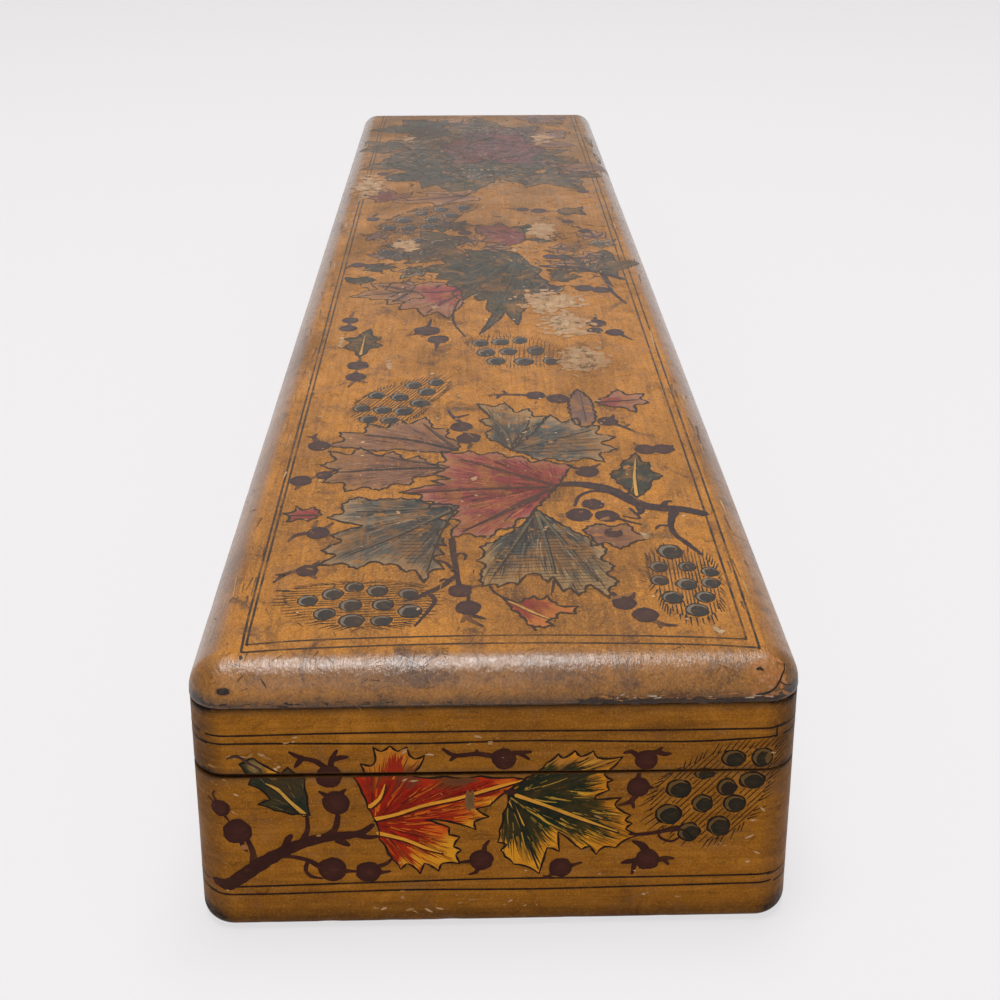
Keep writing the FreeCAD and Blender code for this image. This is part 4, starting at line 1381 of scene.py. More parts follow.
# The painting on the long sides and the far end: the same spray as on the near end, turned about from
# one to the next, between ruled lines that run on round the corners. It crosses the seam, as in front.
def side_spray(film, start, way, seed, warm, cool):
    """One spray, about 84 mm long, painted from its thick end: onward if way is 1, back if it is -1."""
    chance = random.Random(seed)

    def at(along, up):
        return (start + way * (along + chance.uniform(-0.3, 0.3)), up + chance.uniform(-0.25, 0.25))

    lean = 0 if way > 0 else 180
    stem = [at(0.5, 7.9), at(3, 9.2), at(8, 12.4), at(13, 14.8), at(18, 15.8), at(22, 16.8), at(24.6, 18.2)]
    stroke(film, stem, [1.1, 2.1, 2.2, 1.9, 1.5, 1.2, 0.7], maroon, 3)
    stroke(film, [at(14, 15), at(15.6, 17), at(16.2, 20)], [1.0, 0.9, 0.7], maroon, 3)
    stroke(film, [at(10, 13), at(14, 11.4), at(20, 10.4), at(25, 10.4)], [0.9, 0.8, 0.7, 0.5], maroon, 3)
    stroke(film, [at(6.4, 11.6), at(6, 13.4), at(5, 15.4)], [0.8, 0.7, 0.6], maroon, 3)
    maple(film, at(24.6, 18), lean + way * chance.uniform(-8, 2), 20, warm, seed + 1, 110, 0.72)
    maple(film, at(46.5, 22.6), lean + way * chance.uniform(-20, -8), 18.5, cool, seed + 2, 110, 0.76)
    base = at(12.4, 19)
    leaf = [
        base, at(10.6, 21), at(7.4, 21.8), at(9, 23.4), at(6.2, 25.8), at(9.4, 25.6), at(9.4, 28),
        at(12, 25.2), at(14.4, 23.6), at(13.2, 21.6),
    ]
    vein = [base, at(9.4, 24.4)]
    leaf = scalloped(leaf, middle_of(leaf), 0.1)
    paint_leaf(film, leaf, base, small_green, [vein], seed + 3, 30, 0.85, 0.3)
    for along, up, radius in (
        (3.8, 17.2, 1.8), (17, 20.6, 1.8), (17.4, 26, 1.9), (19.4, 10.6, 1.9), (26.6, 10.2, 1.8),
        (45.5, 12.6, 1.9), (60, 27.6, 1.7), (38, 28.2, 1.8), (62.5, 11.4, 1.7), (55, 10.6, 1.7),
    ):
        centre = at(along, up)
        swing = chance.uniform(0, 6.28)
        stems = []
        for turn in (swing, swing + chance.uniform(0.5, 1.0)):
            stems.append([
                (centre[0] + radius * 0.7 * math.cos(turn), centre[1] + radius * 0.7 * math.sin(turn)),
                (centre[0] + 3.4 * math.cos(turn), centre[1] + 2.4 * math.sin(turn)),
            ])
        berry(film, centre, radius, stems, maroon, 0.55)
    stroke(film, [at(58, 18), at(61, 16.6), at(64, 16.4), at(67, 16.8)], [0.3, 0.6, 0.7, 1.0], maroon, 3)
    middle = at(72.6, 20.4)
    fruit = []
    for index in range(14):
        turn = 2 * math.pi * index / 14
        out, up = 8.6 * math.cos(turn), 6.8 * math.sin(turn)
        fruit.append((middle[0] + way * (out * 0.94 - up * 0.24), middle[1] + out * 0.34 + up * 0.86))
    beads = [(middle[0] + way * across, middle[1] + up, 1.6, 1.45) for across, up in (
        (-5, -3.4), (-1.4, -3.6), (2.2, -2), (-5.4, 0.4), (-1.8, 0.2), (1.8, 1.6), (5, 1), (-1.6, 3.8),
        (2, 5), (5.4, 4.6),
    )]
    bramble(film, fruit, beads, math.radians(48 if way > 0 else 132), seed + 4)


far_painting = new_film()
first_run = round_corner(39.0)
last_run = whole_run - first_run
for level, wander in ((6.1, 0.16), (7.6, 0.14), (30.6, 0.16), (32.1, 0.12)):
    path = []
    reach = first_run + (0.6 if wander > 0.15 else -0.6)
    while reach < last_run:
        path.append((reach, level + wander * noise.noise(Vector((reach / 14.0, level, 0.0)))))
        reach += 7.0
    ruled(far_painting, path)
warm = (red_leaf, rust, red_leaf, deep_red)
cool = (green_leaf, moss, slate, green_leaf)
for index in range(4):
    start = quarter + 2 + 85.0 * index
    side_spray(far_painting, start, 1, 300 + 10 * index, warm[index], cool[index])
    start = whole_run - quarter - 2 - 85.0 * index
    side_spray(far_painting, start, -1, 400 + 10 * index, warm[3 - index], cool[index])
side_spray(far_painting, quarter + side_run + corner_run - 2, 1, 500, rust, green_leaf)
lay_across_seam(far_painting, "_sides_painting", belt)


# The painting on the top: inside a double ruled border, maple sprays run the length of the lid, with
# brambles, hips and small leaves between them. It has been rubbed and flaked where hands opened the box.
def top_place(across, lift, gone):
    """A point of the top: across to the hinge side, gone mm from the near end, lift mm above the coat."""
    x = half_long - gone
    inner = Vector((min(max(x, -flat_long), flat_long), min(max(across, -flat_wide), flat_wide)))
    over = Vector((x, across)) - inner
    reach = min(over.length / roll, 1.0)
    radius = coat_radius + lift + unevenness(x, across, 42.0)
    if over.length < 1e-6:
        return (x, across, roll_centre_up + radius)
    spot = inner + over.normalized() * radius * reach
    return (spot.x, spot.y, roll_centre_up + radius * math.sqrt(max(0.0, 1.0 - reach * reach)))


blue_black = pigment(28, 33, 35)
grey_bloom = pigment(112, 102, 86)
old_maroon = pigment(38, 19, 23)
top = new_film()
for line in (
    [(-34.4, 3.6), (-34.7, 5), (-35.0, 20), (-35.1, 80), (-35.2, 180), (-35.0, 280), (-34.6, 347)],
    [(-34.0, 6.4), (-34.3, 12), (-34.3, 60), (-34.2, 150), (-34.1, 250), (-33.6, 344)],
    [(36.3, 4.0), (36.4, 8), (36.6, 40), (36.5, 120), (36.4, 240), (36.1, 347)],
    [(34.9, 6.2), (35.0, 12), (35.1, 50), (35.0, 150), (35.0, 250), (34.7, 344)],
    [(-34.6, 4.6), (-28, 5.2), (-18, 5.7), (-6, 6.0), (8, 5.9), (22, 5.4), (30, 4.9), (36.2, 4.2)],
    [(-34.0, 6.4), (-27, 7.2), (-16, 7.7), (0, 7.9), (14, 7.6), (26, 7.0), (35.0, 6.2)],
    [(-34.6, 347), (0, 347.6), (36.1, 347)],
    [(-33.6, 344), (0, 344.4), (34.7, 344)],
):
    ruled(top, line, 0.36)
stroke(
    top,
    [(11.2, 52.2), (14, 52.8), (17, 52.2), (20, 50.8), (22.4, 48.2), (25, 45.2), (28, 44), (31.6, 43.4),
     (35, 41.8)],
    [0.9, 1.9, 2.3, 2.3, 2.3, 2.2, 2.2, 2.0, 1.8], old_maroon, 3,
)
for path, widths in (
    ([(30.2, 43), (29.4, 40.4), (28.9, 37.8), (29.3, 35), (30.6, 32.6), (32.4, 29)],
     [1.9, 1.3, 1.0, 0.9, 1.0, 0.6]),
    ([(24.6, 45.4), (24.7, 42.8), (24.0, 42.0)], [1.8, 1.2, 0.6]),
    ([(28.4, 44), (29.2, 46), (30.2, 46.2)], [1.6, 0.9, 0.5]),
    ([(22.6, 48.4), (23.6, 49.6), (23.9, 51.4)], [1.2, 0.6, 0.4]),
    ([(28.9, 38), (27.2, 38.2), (26.4, 37.2)], [0.7, 0.6, 0.4]),
    ([(20.5, 49.4), (17.6, 50.2), (15, 48.4), (14, 45)], [0.9, 0.8, 0.7, 0.5]),
    ([(23, 44), (24.2, 40.6), (21.6, 41.4)], [0.6, 0.5, 0.3]),
    ([(20, 41), (22.6, 39.4), (24.2, 38.6)], [0.7, 0.6, 0.4]),
    ([(-6.2, 34.6), (-5.9, 30), (-5.5, 26), (-5.2, 23), (-4.9, 20.4)], [1.2, 1.0, 0.9, 0.8, 0.9]),
    ([(-5.7, 29), (-4.9, 30.2), (-4.0, 29.6), (-4.2, 28.2)], [0.6, 0.6, 0.6, 0.3]),
    ([(-5.8, 25), (-6.9, 27.2), (-8.2, 28.2)], [0.8, 0.6, 0.4]),
    ([(-6.4, 22), (-7.2, 22.8), (-7.8, 22.2)], [0.7, 0.6, 0.5]),
    ([(-5.4, 23.8), (-7.4, 21), (-9.4, 19.2), (-11.4, 17.6), (-12.8, 17)], [0.8, 1.0, 1.1, 0.7, 0.4]),
    ([(-9.4, 19), (-8.5, 17), (-9.4, 14.2), (-11.2, 10.4)], [0.8, 0.7, 0.6, 0.3]),
    ([(-3.6, 16), (-3.6, 18.4)], [0.7, 0.5]),
):
    stroke(top, path, widths, old_maroon, 3)

near_leaves = (
    ([(-5.4, 66), (-5.2, 69.4), (-7.6, 71.6), (-7.2, 75), (-10, 75.4), (-11.6, 80.4), (-14.6, 77.4),
      (-17.4, 80.2), (-18.6, 75.8), (-22.4, 77.8), (-22.8, 73.6), (-27.4, 74.2), (-26.2, 70.6),
      (-29.2, 68.4), (-24, 67.4), (-20, 66), (-16, 66.8), (-11, 65.4)],
     (-5.4, 66), rust, [[(-6, 66.4), (-14, 70.6), (-23, 73)], [(-6, 67), (-9, 72), (-12, 77.6)]], 160, 0.8),
    ([(-6.8, 59.6), (-10.4, 61), (-12.4, 64), (-14.6, 62.6), (-17, 66), (-19.6, 64), (-23, 67.8),
      (-24.6, 64.8), (-28.6, 66.4), (-27, 62.8), (-29.4, 60.6), (-26.2, 58.6), (-28.6, 54.2), (-24.8, 54),
      (-24.4, 50.8), (-21, 52.4), (-18.6, 51.2), (-16.2, 53.4), (-13.4, 53), (-13, 55.6), (-9.6, 56.6)],
     (-6.8, 59), rust, [[(-8, 59.4), (-16, 59.2), (-26, 58.2)], [(-8, 60), (-15, 62.6), (-22, 65.6)]], 220,
     0.75),
    ([(4, 66), (2, 69), (0.5, 70), (-0.5, 73), (1, 75), (-1.5, 78.5), (0.5, 80), (-2, 86.5), (1.5, 85),
      (3.5, 86.5), (5.5, 82), (8, 84), (9, 80), (11.5, 80.5), (9.5, 75.5), (8, 72), (6, 69)],
     (4, 66), moss, [[(4, 67), (3, 74), (-0.6, 83)], [(4.4, 67), (6.6, 74), (8, 80)]], 120, 0.7),
    ([(4, 66), (7, 64), (9, 61.5), (11, 62.5), (14, 61), (17.5, 62.5), (20.5, 60.8), (19.8, 64),
      (23.2, 66), (20.5, 68.5), (23.5, 71), (20, 72.5), (21, 76), (17.5, 75.5), (17, 79.5), (14, 77.5),
      (12, 81), (9.5, 77), (6.5, 74), (5, 70)],
     (4, 66), slate, [[(5, 66.4), (12, 70.4), (19, 74)], [(5, 66), (12, 65.4), (20, 66)]], 160, 0.75),
    ([(-5, 45.5), (-10.5, 46.5), (-12.5, 48), (-17, 48.3), (-19.5, 47.5), (-22, 49), (-24.5, 46.5),
      (-24, 43.5), (-26.5, 42), (-24, 40.5), (-20.5, 39.3), (-25.5, 36.3), (-23.5, 34.5), (-26.5, 31.5),
      (-24, 30), (-26.8, 27), (-22.5, 27.5), (-20.5, 26), (-18.5, 28), (-16.5, 27), (-14.5, 27),
      (-13, 24.8), (-11.6, 25.4), (-10.2, 21.8), (-9.3, 25), (-7.2, 25.6), (-9, 29), (-7.3, 30), (-9, 33),
      (-7, 32.6), (-8.5, 37), (-6.5, 39.5), (-8.5, 41.5), (-6.5, 43)],
     (-5, 45.5), slate,
     [[(-5.4, 45.2), (-10, 40.6), (-15, 36), (-22, 30.4)],
      [(-6, 45.4), (-14, 44.6), (-22, 44)], [(-6, 44.6), (-8.4, 36), (-10, 25)]],
     330, 0.8),
    ([(11.5, 52), (12.6, 54.5), (13.6, 57.5), (14.6, 59.8), (11.8, 60.6), (9.5, 62), (7.6, 61), (6, 63.6),
      (3.5, 63), (1.5, 65.2), (-1.5, 64.2), (-3.5, 66), (-5.5, 65), (-8.5, 65.2), (-7.4, 62), (-9.8, 60.5),
      (-7.6, 58.6), (-9.6, 56.8), (-6.6, 55.2), (-10, 54.4), (-7.5, 53), (-11, 52.6), (-15.2, 50.3),
      (-11.4, 49.4), (-12.3, 47.2), (-9.3, 47), (-10.2, 44.6), (-7, 45.2), (-5.2, 43.4), (-6.8, 41),
      (-4.8, 40), (-6.3, 37.4), (-6.2, 35), (-4, 36.3), (-2.4, 35.2), (-0.2, 34.8), (1.2, 37.5), (3.6, 38),
      (4.2, 40.4), (6.5, 41), (7.4, 44), (9, 47), (10.4, 49.8)],
     (11.5, 52), deep_red,
     [[(11, 52), (2, 51.6), (-6, 51), (-14.6, 50.2)], [(11, 52.4), (4, 57), (-5, 62.6)],
      [(10.8, 51.4), (5, 46.4), (-1, 40.2)], [(8, 48), (2, 43), (-4.6, 37)]],
     480, 0.8),
    ([(14.6, 37), (17, 39), (19.5, 38), (22, 39), (23, 36), (25, 34.5), (22.5, 33), (20, 31), (18, 33),
      (15.5, 31.8), (16, 34.5)],
     (14.6, 35), rust, [], 40, 0.9),
    ([(7.5, 44), (5.5, 39.5), (2.5, 36), (0.8, 34), (-1.8, 32), (-1.2, 30), (-2.5, 28), (-1, 26.5),
      (-1.8, 24), (-1.5, 20.6), (0.3, 21.2), (0.8, 20.4), (2.6, 21.6), (3.7, 21), (5, 23.6), (6.8, 24),
      (8.3, 21.5), (9.2, 23), (10.4, 18.8), (11.5, 19.8), (12.6, 17.8), (13.6, 18.8), (14.6, 20.8),
      (17, 17), (17.2, 19.6), (18.8, 21.6), (17.2, 23.6), (18.6, 26), (16.8, 28), (18, 31), (16.2, 33.4),
      (14, 36), (11, 39.5), (9, 42)],
     (7.5, 44), moss,
     [[(7.2, 43), (4.4, 35), (0.2, 24)], [(7.6, 42.4), (8.6, 33), (9.4, 24)],
      [(7.8, 43), (11.4, 33), (15.6, 22)]],
     420, 0.66),
    ([(24.5, 47.5), (23, 51), (21, 55), (21.5, 57.5), (22.8, 58), (23.8, 61.5), (24.8, 62), (26.3, 64.5),
      (27, 61), (28.2, 60.5), (28, 57.5), (30, 55.3), (27.8, 53.5), (27, 50.5)],
     (24.5, 47.5), small_green, [[(24.6, 48.4), (25, 55), (26, 62)]], 90, 0.85),
    ([(1, 18), (3.4, 16), (6, 17.8), (6.8, 16.8), (8, 18), (9, 16), (10, 15), (12.3, 15), (11.8, 13),
      (9.5, 13.4), (9, 12), (7.5, 11), (8.5, 10), (5.5, 9.8), (5.8, 9), (3.8, 12.5), (1.9, 16)],
     (1, 18), fresh_red, [[(2, 17), (5.6, 13.6), (8.6, 11.4)]], 90, 0.6),
    ([(-27.5, 43), (-29, 45.6), (-30.5, 44.6), (-32, 46), (-32.2, 44), (-34, 43.5), (-32.6, 42),
      (-33, 40.6), (-30.8, 41.6), (-29.5, 40.8)],
     (-27.5, 43), deep_red, [[(-28, 43), (-33, 42.8)]], 50, 0.8),
)
for seed, (outline, base, tones, veins, streaks, turn_at) in enumerate(near_leaves, 31):
    middle = middle_of(outline)
    leaf = scalloped(toothed(outline, middle), middle, 0.2)
    paint_leaf(top, leaf, base, tones, veins, seed, streaks, turn_at, 0.4)
chance = random.Random(29)
for outline, slope, gap, hair in (
    ([(-1, 24), (0.6, 21.6), (5, 24), (8.6, 22.6), (12.6, 19), (16.6, 18.8), (17.6, 23.6), (16, 31),
      (10, 38), (3, 36)],
     0.04, 0.95, 0.17),
    ([(-10, 43), (-8.6, 34), (-10, 27), (-13, 27), (-14.6, 33), (-13.4, 40)], 0.02, 1.0, 0.15),
    ([(8, 66), (14, 63.4), (19, 65), (20.6, 70), (15, 75), (10, 73)], 0.1, 1.3, 0.15),
):
    hatch(top, outline, slope, gap, hair, chance, (), 4)
for index in range(500):
    if index < 330:
        spot = (chance.uniform(-29, 26), chance.uniform(16, 86))
    else:
        spot = (chance.uniform(-30, 31), chance.uniform(130, 340))
    wide = chance.uniform(0.12, 0.46) * (1.0 + spot[1] / 300.0)
    worn = blend(pigment(160, 104, 36), pigment(124, 86, 46), chance.random())
    if index % 3:
        blot(
            top, spot, (wide * chance.uniform(0.8, 2.6), wide), worn, 3.2, worn, 0.4,
            chance.uniform(-0.5, 0.5),
        )
    else:
        slant, long = chance.gauss(1.57, 0.3), chance.uniform(1.0, 3.4)
        scratch(top, spot, long, slant, [0.06, chance.uniform(0.1, 0.3)], worn, 3.2, 0.7)
stroke(top, [(-0.4, 20.6), (0.2, 19), (1.2, 17.8)], 0.5, old_maroon, 4)
stroke(top, [(8.6, 18), (9.2, 22)], [0.4, 0.5], old_maroon, 3)
for centre, radius, stems in (
    ((-27.5, 37), 1.9,
     [[(-28.4, 39), (-28, 41)], [(-29.4, 37), (-31, 36.2), (-31.8, 34.6)], [(-26.6, 38.4), (-25.4, 40.2)]]),
    ((-28.5, 57), 1.5, [[(-27.4, 58.2), (-25.6, 59.6)]]),
    ((-32.3, 55), 1.9, [[(-30.6, 56), (-29.6, 56.6)], [(-32.4, 53), (-32.8, 51.8)]]),
    ((-28, 25.6), 1.7,
     [[(-29.6, 25.6), (-31.4, 24.4), (-32.6, 22.4)], [(-27, 27), (-26.4, 28.6)],
      [(-27, 24.2), (-26.4, 23.4)], [(-31.4, 24.4), (-32.6, 24.6)]]),
    ((-4.8, 19.5), 1.8, [[(-3.4, 20.4), (-1.6, 21)]]),
    ((-3.6, 15), 1.9,
     [[(-3.6, 13.2), (-3.4, 11.8), (-1.6, 10.2)], [(-3.8, 13), (-4.6, 11.2)], [(-3.2, 13), (-1.2, 12)]]),
    ((19, 15.7), 1.8, [[(18, 17.2), (17.6, 18.6)], [(20.2, 17), (20.8, 18.4)]]),
    ((21.7, 12.5), 1.9, [[(22.8, 11), (24, 10), (25.8, 9.8)], [(23.6, 10.4), (23.4, 9.2)]]),
    ((17, 57.3), 2.1, [[(15.2, 58.6), (13.8, 59.6)], [(18.2, 59), (19.6, 60.2)]]),
    ((17, 45.5), 1.9, []), ((14.5, 42), 2.2, []), ((19, 41.5), 2.0, []),
    ((-30.5, 68.5), 2.0, [[(-31, 70.4), (-31.8, 72), (-31.4, 73.6)], [(-31.8, 72), (-33, 72.4)]]),
    ((28.2, 65.7), 2.0, [[(27, 67), (26.4, 68.4)]]),
    ((31.4, 65.8), 2.0, [[(32.8, 66.4), (33.4, 67.2)], [(30, 65.6), (29.4, 65.6)]]),
    ((19.5, 36), 1.5, []),
    ((9.6, 90), 1.9,
     [[(7.8, 90.2), (4, 90.6), (0.5, 90.4)], [(4, 90.6), (3.4, 92.4)], [(2.6, 90.4), (2, 88.6)]]),
    ((13.9, 88.3), 2.2, [[(11.6, 89.4), (11, 89.6)]]),
    ((-4.8, 76), 2.1, [[(-5, 78), (-6.4, 80.4), (-7.4, 83.4)], [(-6, 80), (-3.4, 81.4)]]),
    ((-3.5, 71), 2.3, [[(-4, 73), (-4.4, 74)], [(-3, 69), (-3.6, 66.6)]]),
    ((22.5, 77.7), 2.0,
     [[(24, 76.4), (25.4, 75.2), (27.2, 73)], [(23.6, 79.4), (24, 80.6)], [(25.4, 75.2), (26.6, 76.4)]]),
    ((-26.3, 106), 2.3, [[(-26.2, 108), (-26, 110)]]),
    ((-26.3, 100), 2.1,
     [[(-26.4, 102), (-26.4, 103.6)], [(-26.4, 98), (-27.4, 95)], [(-25.4, 98), (-23.8, 97)]]),
    ((-30, 132.4), 1.9, [[(-30, 135), (-29.6, 138)]]),
    ((-30, 127.4), 2.0, [[(-30, 129), (-30, 130.6)]]),
    ((-12.6, 125.5), 2.9, [[(-14.6, 124), (-17, 122.6)], [(-12.4, 128), (-11.8, 133)]]),
    ((-10, 120.4), 2.4, [[(-10.2, 118), (-10.4, 114)]]),
    ((25, 129.4), 2.4, [[(25, 132), (25.4, 135)]]), ((24.4, 125), 1.8, []),
    ((28.6, 123.6), 2.1, [[(30, 122), (32, 119)]]),
):
    berry(top, centre, radius, stems, old_maroon, 0.85)
for outline, beads, slope, seed, gap, hair in (
    ([(-31, 20), (-30.5, 17), (-28, 13.5), (-24, 11), (-19, 10), (-14.5, 10.3), (-11, 12), (-9.2, 15),
      (-8.6, 18.5), (-10.5, 20.6), (-14, 21.8), (-18.5, 22.2), (-24, 22), (-28, 21)],
     [(-27, 17.3, 1.5, 1.5), (-23.5, 19, 1.6, 1.6), (-20.5, 20.8, 1.5, 1.3), (-17, 19.8, 1.6, 1.6),
      (-20.6, 16, 1.7, 1.6), (-16, 16, 1.6, 1.5), (-24.2, 13.8, 1.6, 1.6), (-20.2, 12, 1.9, 1.7),
      (-16, 11.9, 1.6, 1.3), (-12, 14.2, 1.8, 1.7), (-12.4, 18.9, 1.5, 1.4)],
     0.06, 51, 0.62, 0.24),
    ([(24, 28.5), (23.6, 24), (24.2, 18), (25.4, 13.5), (28, 11.3), (30.5, 11.2), (32.6, 14), (33.8, 19),
      (34, 24), (33, 28), (30.5, 30.5), (27, 31)],
     [(25.3, 25.6, 1.4, 1.5), (29.6, 25.5, 1.4, 1.4), (24.9, 21.7, 1.4, 1.4), (28.8, 20.6, 1.6, 1.6),
      (32.4, 20.8, 1.4, 1.5), (26.2, 17, 1.6, 1.7), (31, 17, 1.5, 1.5), (29.3, 13.6, 1.7, 1.7),
      (32.8, 24, 1.3, 1.4), (27.6, 30, 1.9, 2.2, 1)],
     1.53, 52, 0.6, 0.26),
    ([(-25.5, 84), (-25, 88), (-22.5, 92), (-19, 95.5), (-14, 98), (-9, 99.5), (-7.4, 97), (-8.3, 92),
      (-10.5, 87.5), (-12, 83), (-15, 79), (-19, 77.5), (-23, 78.5)],
     [(-21.5, 90.8, 1.7, 1.8), (-17, 89.8, 1.8, 1.9), (-11.7, 92.3, 1.8, 2), (-10, 97, 1.6, 1.8),
      (-14.5, 95.5, 1.7, 1.8), (-24, 84.7, 1.7, 1.7), (-20, 83.8, 1.8, 1.8), (-15.9, 83.2, 1.9, 2),
      (-13, 86.9, 1.9, 1.9), (-22.4, 79.7, 1.8, 1.7), (-18.4, 79.2, 1.8, 1.5)],
     1.1, 53, 0.7, 0.28),
    ([(-4, 118), (-2, 112.5), (1, 106.5), (6, 105), (12, 105.5), (15.5, 108), (16, 113), (13.5, 118),
      (8, 121.5), (2, 122), (-2, 121)],
     [(2.2, 107.7, 2, 2.1), (8, 107.4, 2.1, 2.1), (5, 113, 1.9, 2), (0.2, 112.6, 2, 2.2),
      (10.8, 113.4, 1.8, 2.4), (13.6, 107.6, 1.6, 2), (-1, 118, 1.8, 2), (3.4, 118.6, 2, 1.9),
      (7.6, 119.4, 1.6, 2)],
     1.5, 54, 0.85, 0.18),
):
    bramble(top, outline, beads, slope, seed, gap, hair, blue_black, grey_bloom)
purple = leaf_tones((112, 30, 34), (110, 40, 38), (104, 56, 44), (62, 22, 24), (130, 80, 56), (100, 60, 44))
mauve = leaf_tones((104, 72, 66), (108, 78, 70), (116, 84, 70), (78, 52, 48), (130, 100, 80), (110, 80, 66))
dark_green = leaf_tones((22, 38, 24), (34, 42, 24), (62, 54, 28), (14, 20, 12), (88, 74, 38), (58, 56, 30))
grey_green = leaf_tones((46, 46, 30), (56, 52, 32), (74, 60, 32), (28, 28, 18), (98, 80, 44), (80, 66, 38))
stroke(
    top, [(14.6, 170), (18, 169.4), (22.2, 168.4), (28.2, 165.4), (34.4, 159.4)],
    [1.4, 2.6, 2.6, 2.2, 1.6], old_maroon, 3,
)
stroke(top, [(29.6, 164.6), (30.4, 157), (30.8, 150), (33.2, 142)], [1.6, 1.2, 1.0, 0.6], old_maroon, 3)
stroke(top, [(-5.4, 146), (-6.8, 138), (-6.6, 130), (-4.2, 122)], [0.5, 0.6, 0.6, 0.4], ink, 5)
middle_leaves = (
    ([(-5, 152), (-8, 157), (-13, 158.5), (-17, 156), (-21.5, 158.5), (-23.5, 153), (-20, 150.5),
      (-22.5, 146), (-18.5, 144.5), (-19.5, 139), (-15.5, 140), (-13.5, 134.5), (-10.5, 137.5), (-8, 133),
      (-6.5, 138), (-4.6, 143), (-5, 148)],
     (-5, 152), deep_red, [[(-6, 152), (-13, 151), (-20, 152)], [(-6, 149), (-10, 143), (-13, 137)]], 160,
     0.5),
    ([(8.9, 181), (4, 184), (-1, 182.5), (-4.5, 184.5), (-3, 178), (-7, 178.5), (-10.6, 176.5),
      (-9, 172.5), (-12.5, 171), (-15.5, 166.5), (-10.5, 165), (-11.5, 160.5), (-8, 160), (-8.6, 155),
      (-5.6, 154.5), (-7.5, 149.5), (-5.2, 145), (-2.4, 149), (-1.2, 144.5), (1.2, 146), (0.6, 139),
      (2.2, 136), (-1.1, 123), (3, 131), (5, 137), (7.6, 128.5), (8.6, 136), (10.6, 143), (12.4, 147),
      (15.9, 148.5), (13.4, 153), (16.2, 158), (12.8, 162), (15, 167), (12, 171), (10.8, 176)],
     (8.9, 181), dark_green,
     [[(8, 180), (-3, 172), (-14, 166.8)], [(8.4, 179), (2, 163), (-4.6, 148)],
      [(8.8, 178), (6, 155), (0, 127)], [(9.4, 178), (12, 168), (15, 159)]],
     420, 0.75),
    ([(11.6, 191), (9, 188), (6, 187), (3, 190), (0, 190.5), (1.5, 195), (-1.5, 199), (-1, 206.5),
      (3, 204), (5, 208), (8, 203), (11, 204), (12, 198)],
     (11.6, 191), purple, [[(11, 192), (5, 197), (0, 204)]], 60, 0.8),
    ([(18, 93), (20, 89), (20.6, 84), (20.4, 78), (18.6, 75), (16.4, 76.5), (15.6, 82), (16, 88)],
     (18, 93), mauve, [[(18, 91), (18.4, 78)]], 40, 0.9),
    ([(20.8, 86.5), (24, 90), (26, 92.5), (27.5, 90), (31, 90.5), (30, 88), (31.5, 86), (28.5, 85),
      (28.5, 81.5), (26, 84), (23.5, 84.5)],
     (20.8, 86.5), deep_red, [[(21.4, 86.6), (29.4, 87.6)]], 50, 0.5),
    ([(-26.3, 110), (-27.6, 114), (-30, 116), (-28.8, 119), (-30.4, 121), (-27.6, 122), (-26.4, 125),
      (-25, 127), (-24.4, 123), (-22.4, 122), (-23.6, 119), (-21.8, 117), (-24.6, 115), (-25.4, 112)],
     (-26.3, 110), small_green, [[(-26.2, 112), (-26, 123)]], 60, 0.85),
    ([(21.6, 219), (24, 222.6), (27, 221.4), (29.6, 223.6), (29, 219), (30, 215), (26.4, 216.4),
      (23.6, 215)],
     (21.6, 219), dark_green, [], 30, 0.9),
    ([(-26, 160), (-28.4, 162.6), (-31, 161.4), (-33.6, 162.4), (-33, 159.4), (-31, 157.4), (-28, 158)],
     (-26, 160), dark_green, [], 30, 0.9),
)
for seed, (outline, base, tones, veins, streaks, turn_at) in enumerate(middle_leaves, 61):
    middle = middle_of(outline)
    leaf = scalloped(toothed(outline, middle), middle, 0.2)
    paint_leaf(top, leaf, base, tones, veins, seed, streaks, turn_at, 0.45)
for base, heading, size, tones, seed, streaks, slim in (
    ((-7, 186), 176, 20, grey_green, 70, 120, 1.0), ((-17, 152), 196, 15, rust, 71, 60, 0.8),
    ((27.6, 166), 76, 19, grey_green, 72, 80, 0.7), ((-4, 236), 196, 24, rust, 73, 20, 0.5),
    ((0, 312), 92, 30, grey_green, 74, 140, 1.1), ((11, 306), 34, 26, mauve, 75, 90, 1.0),
    ((-8, 300), 172, 25, grey_green, 76, 120, 1.0), ((-8, 286), 216, 27, dark_green, 77, 120, 0.9),
    ((12, 284), -24, 24, grey_green, 78, 100, 0.9), ((-3, 296), 268, 58, dark_green, 79, 260, 0.8),
    ((15, 300), 181, 24, purple, 80, 120, 1.0), ((-26, 232), 100, 12, purple, 81, 30, 0.8),
    ((20, 262), -60, 24, grey_green, 82, 60, 0.8),
):
    maple(top, base, heading, size, tones, seed, streaks, slim, 0.34)
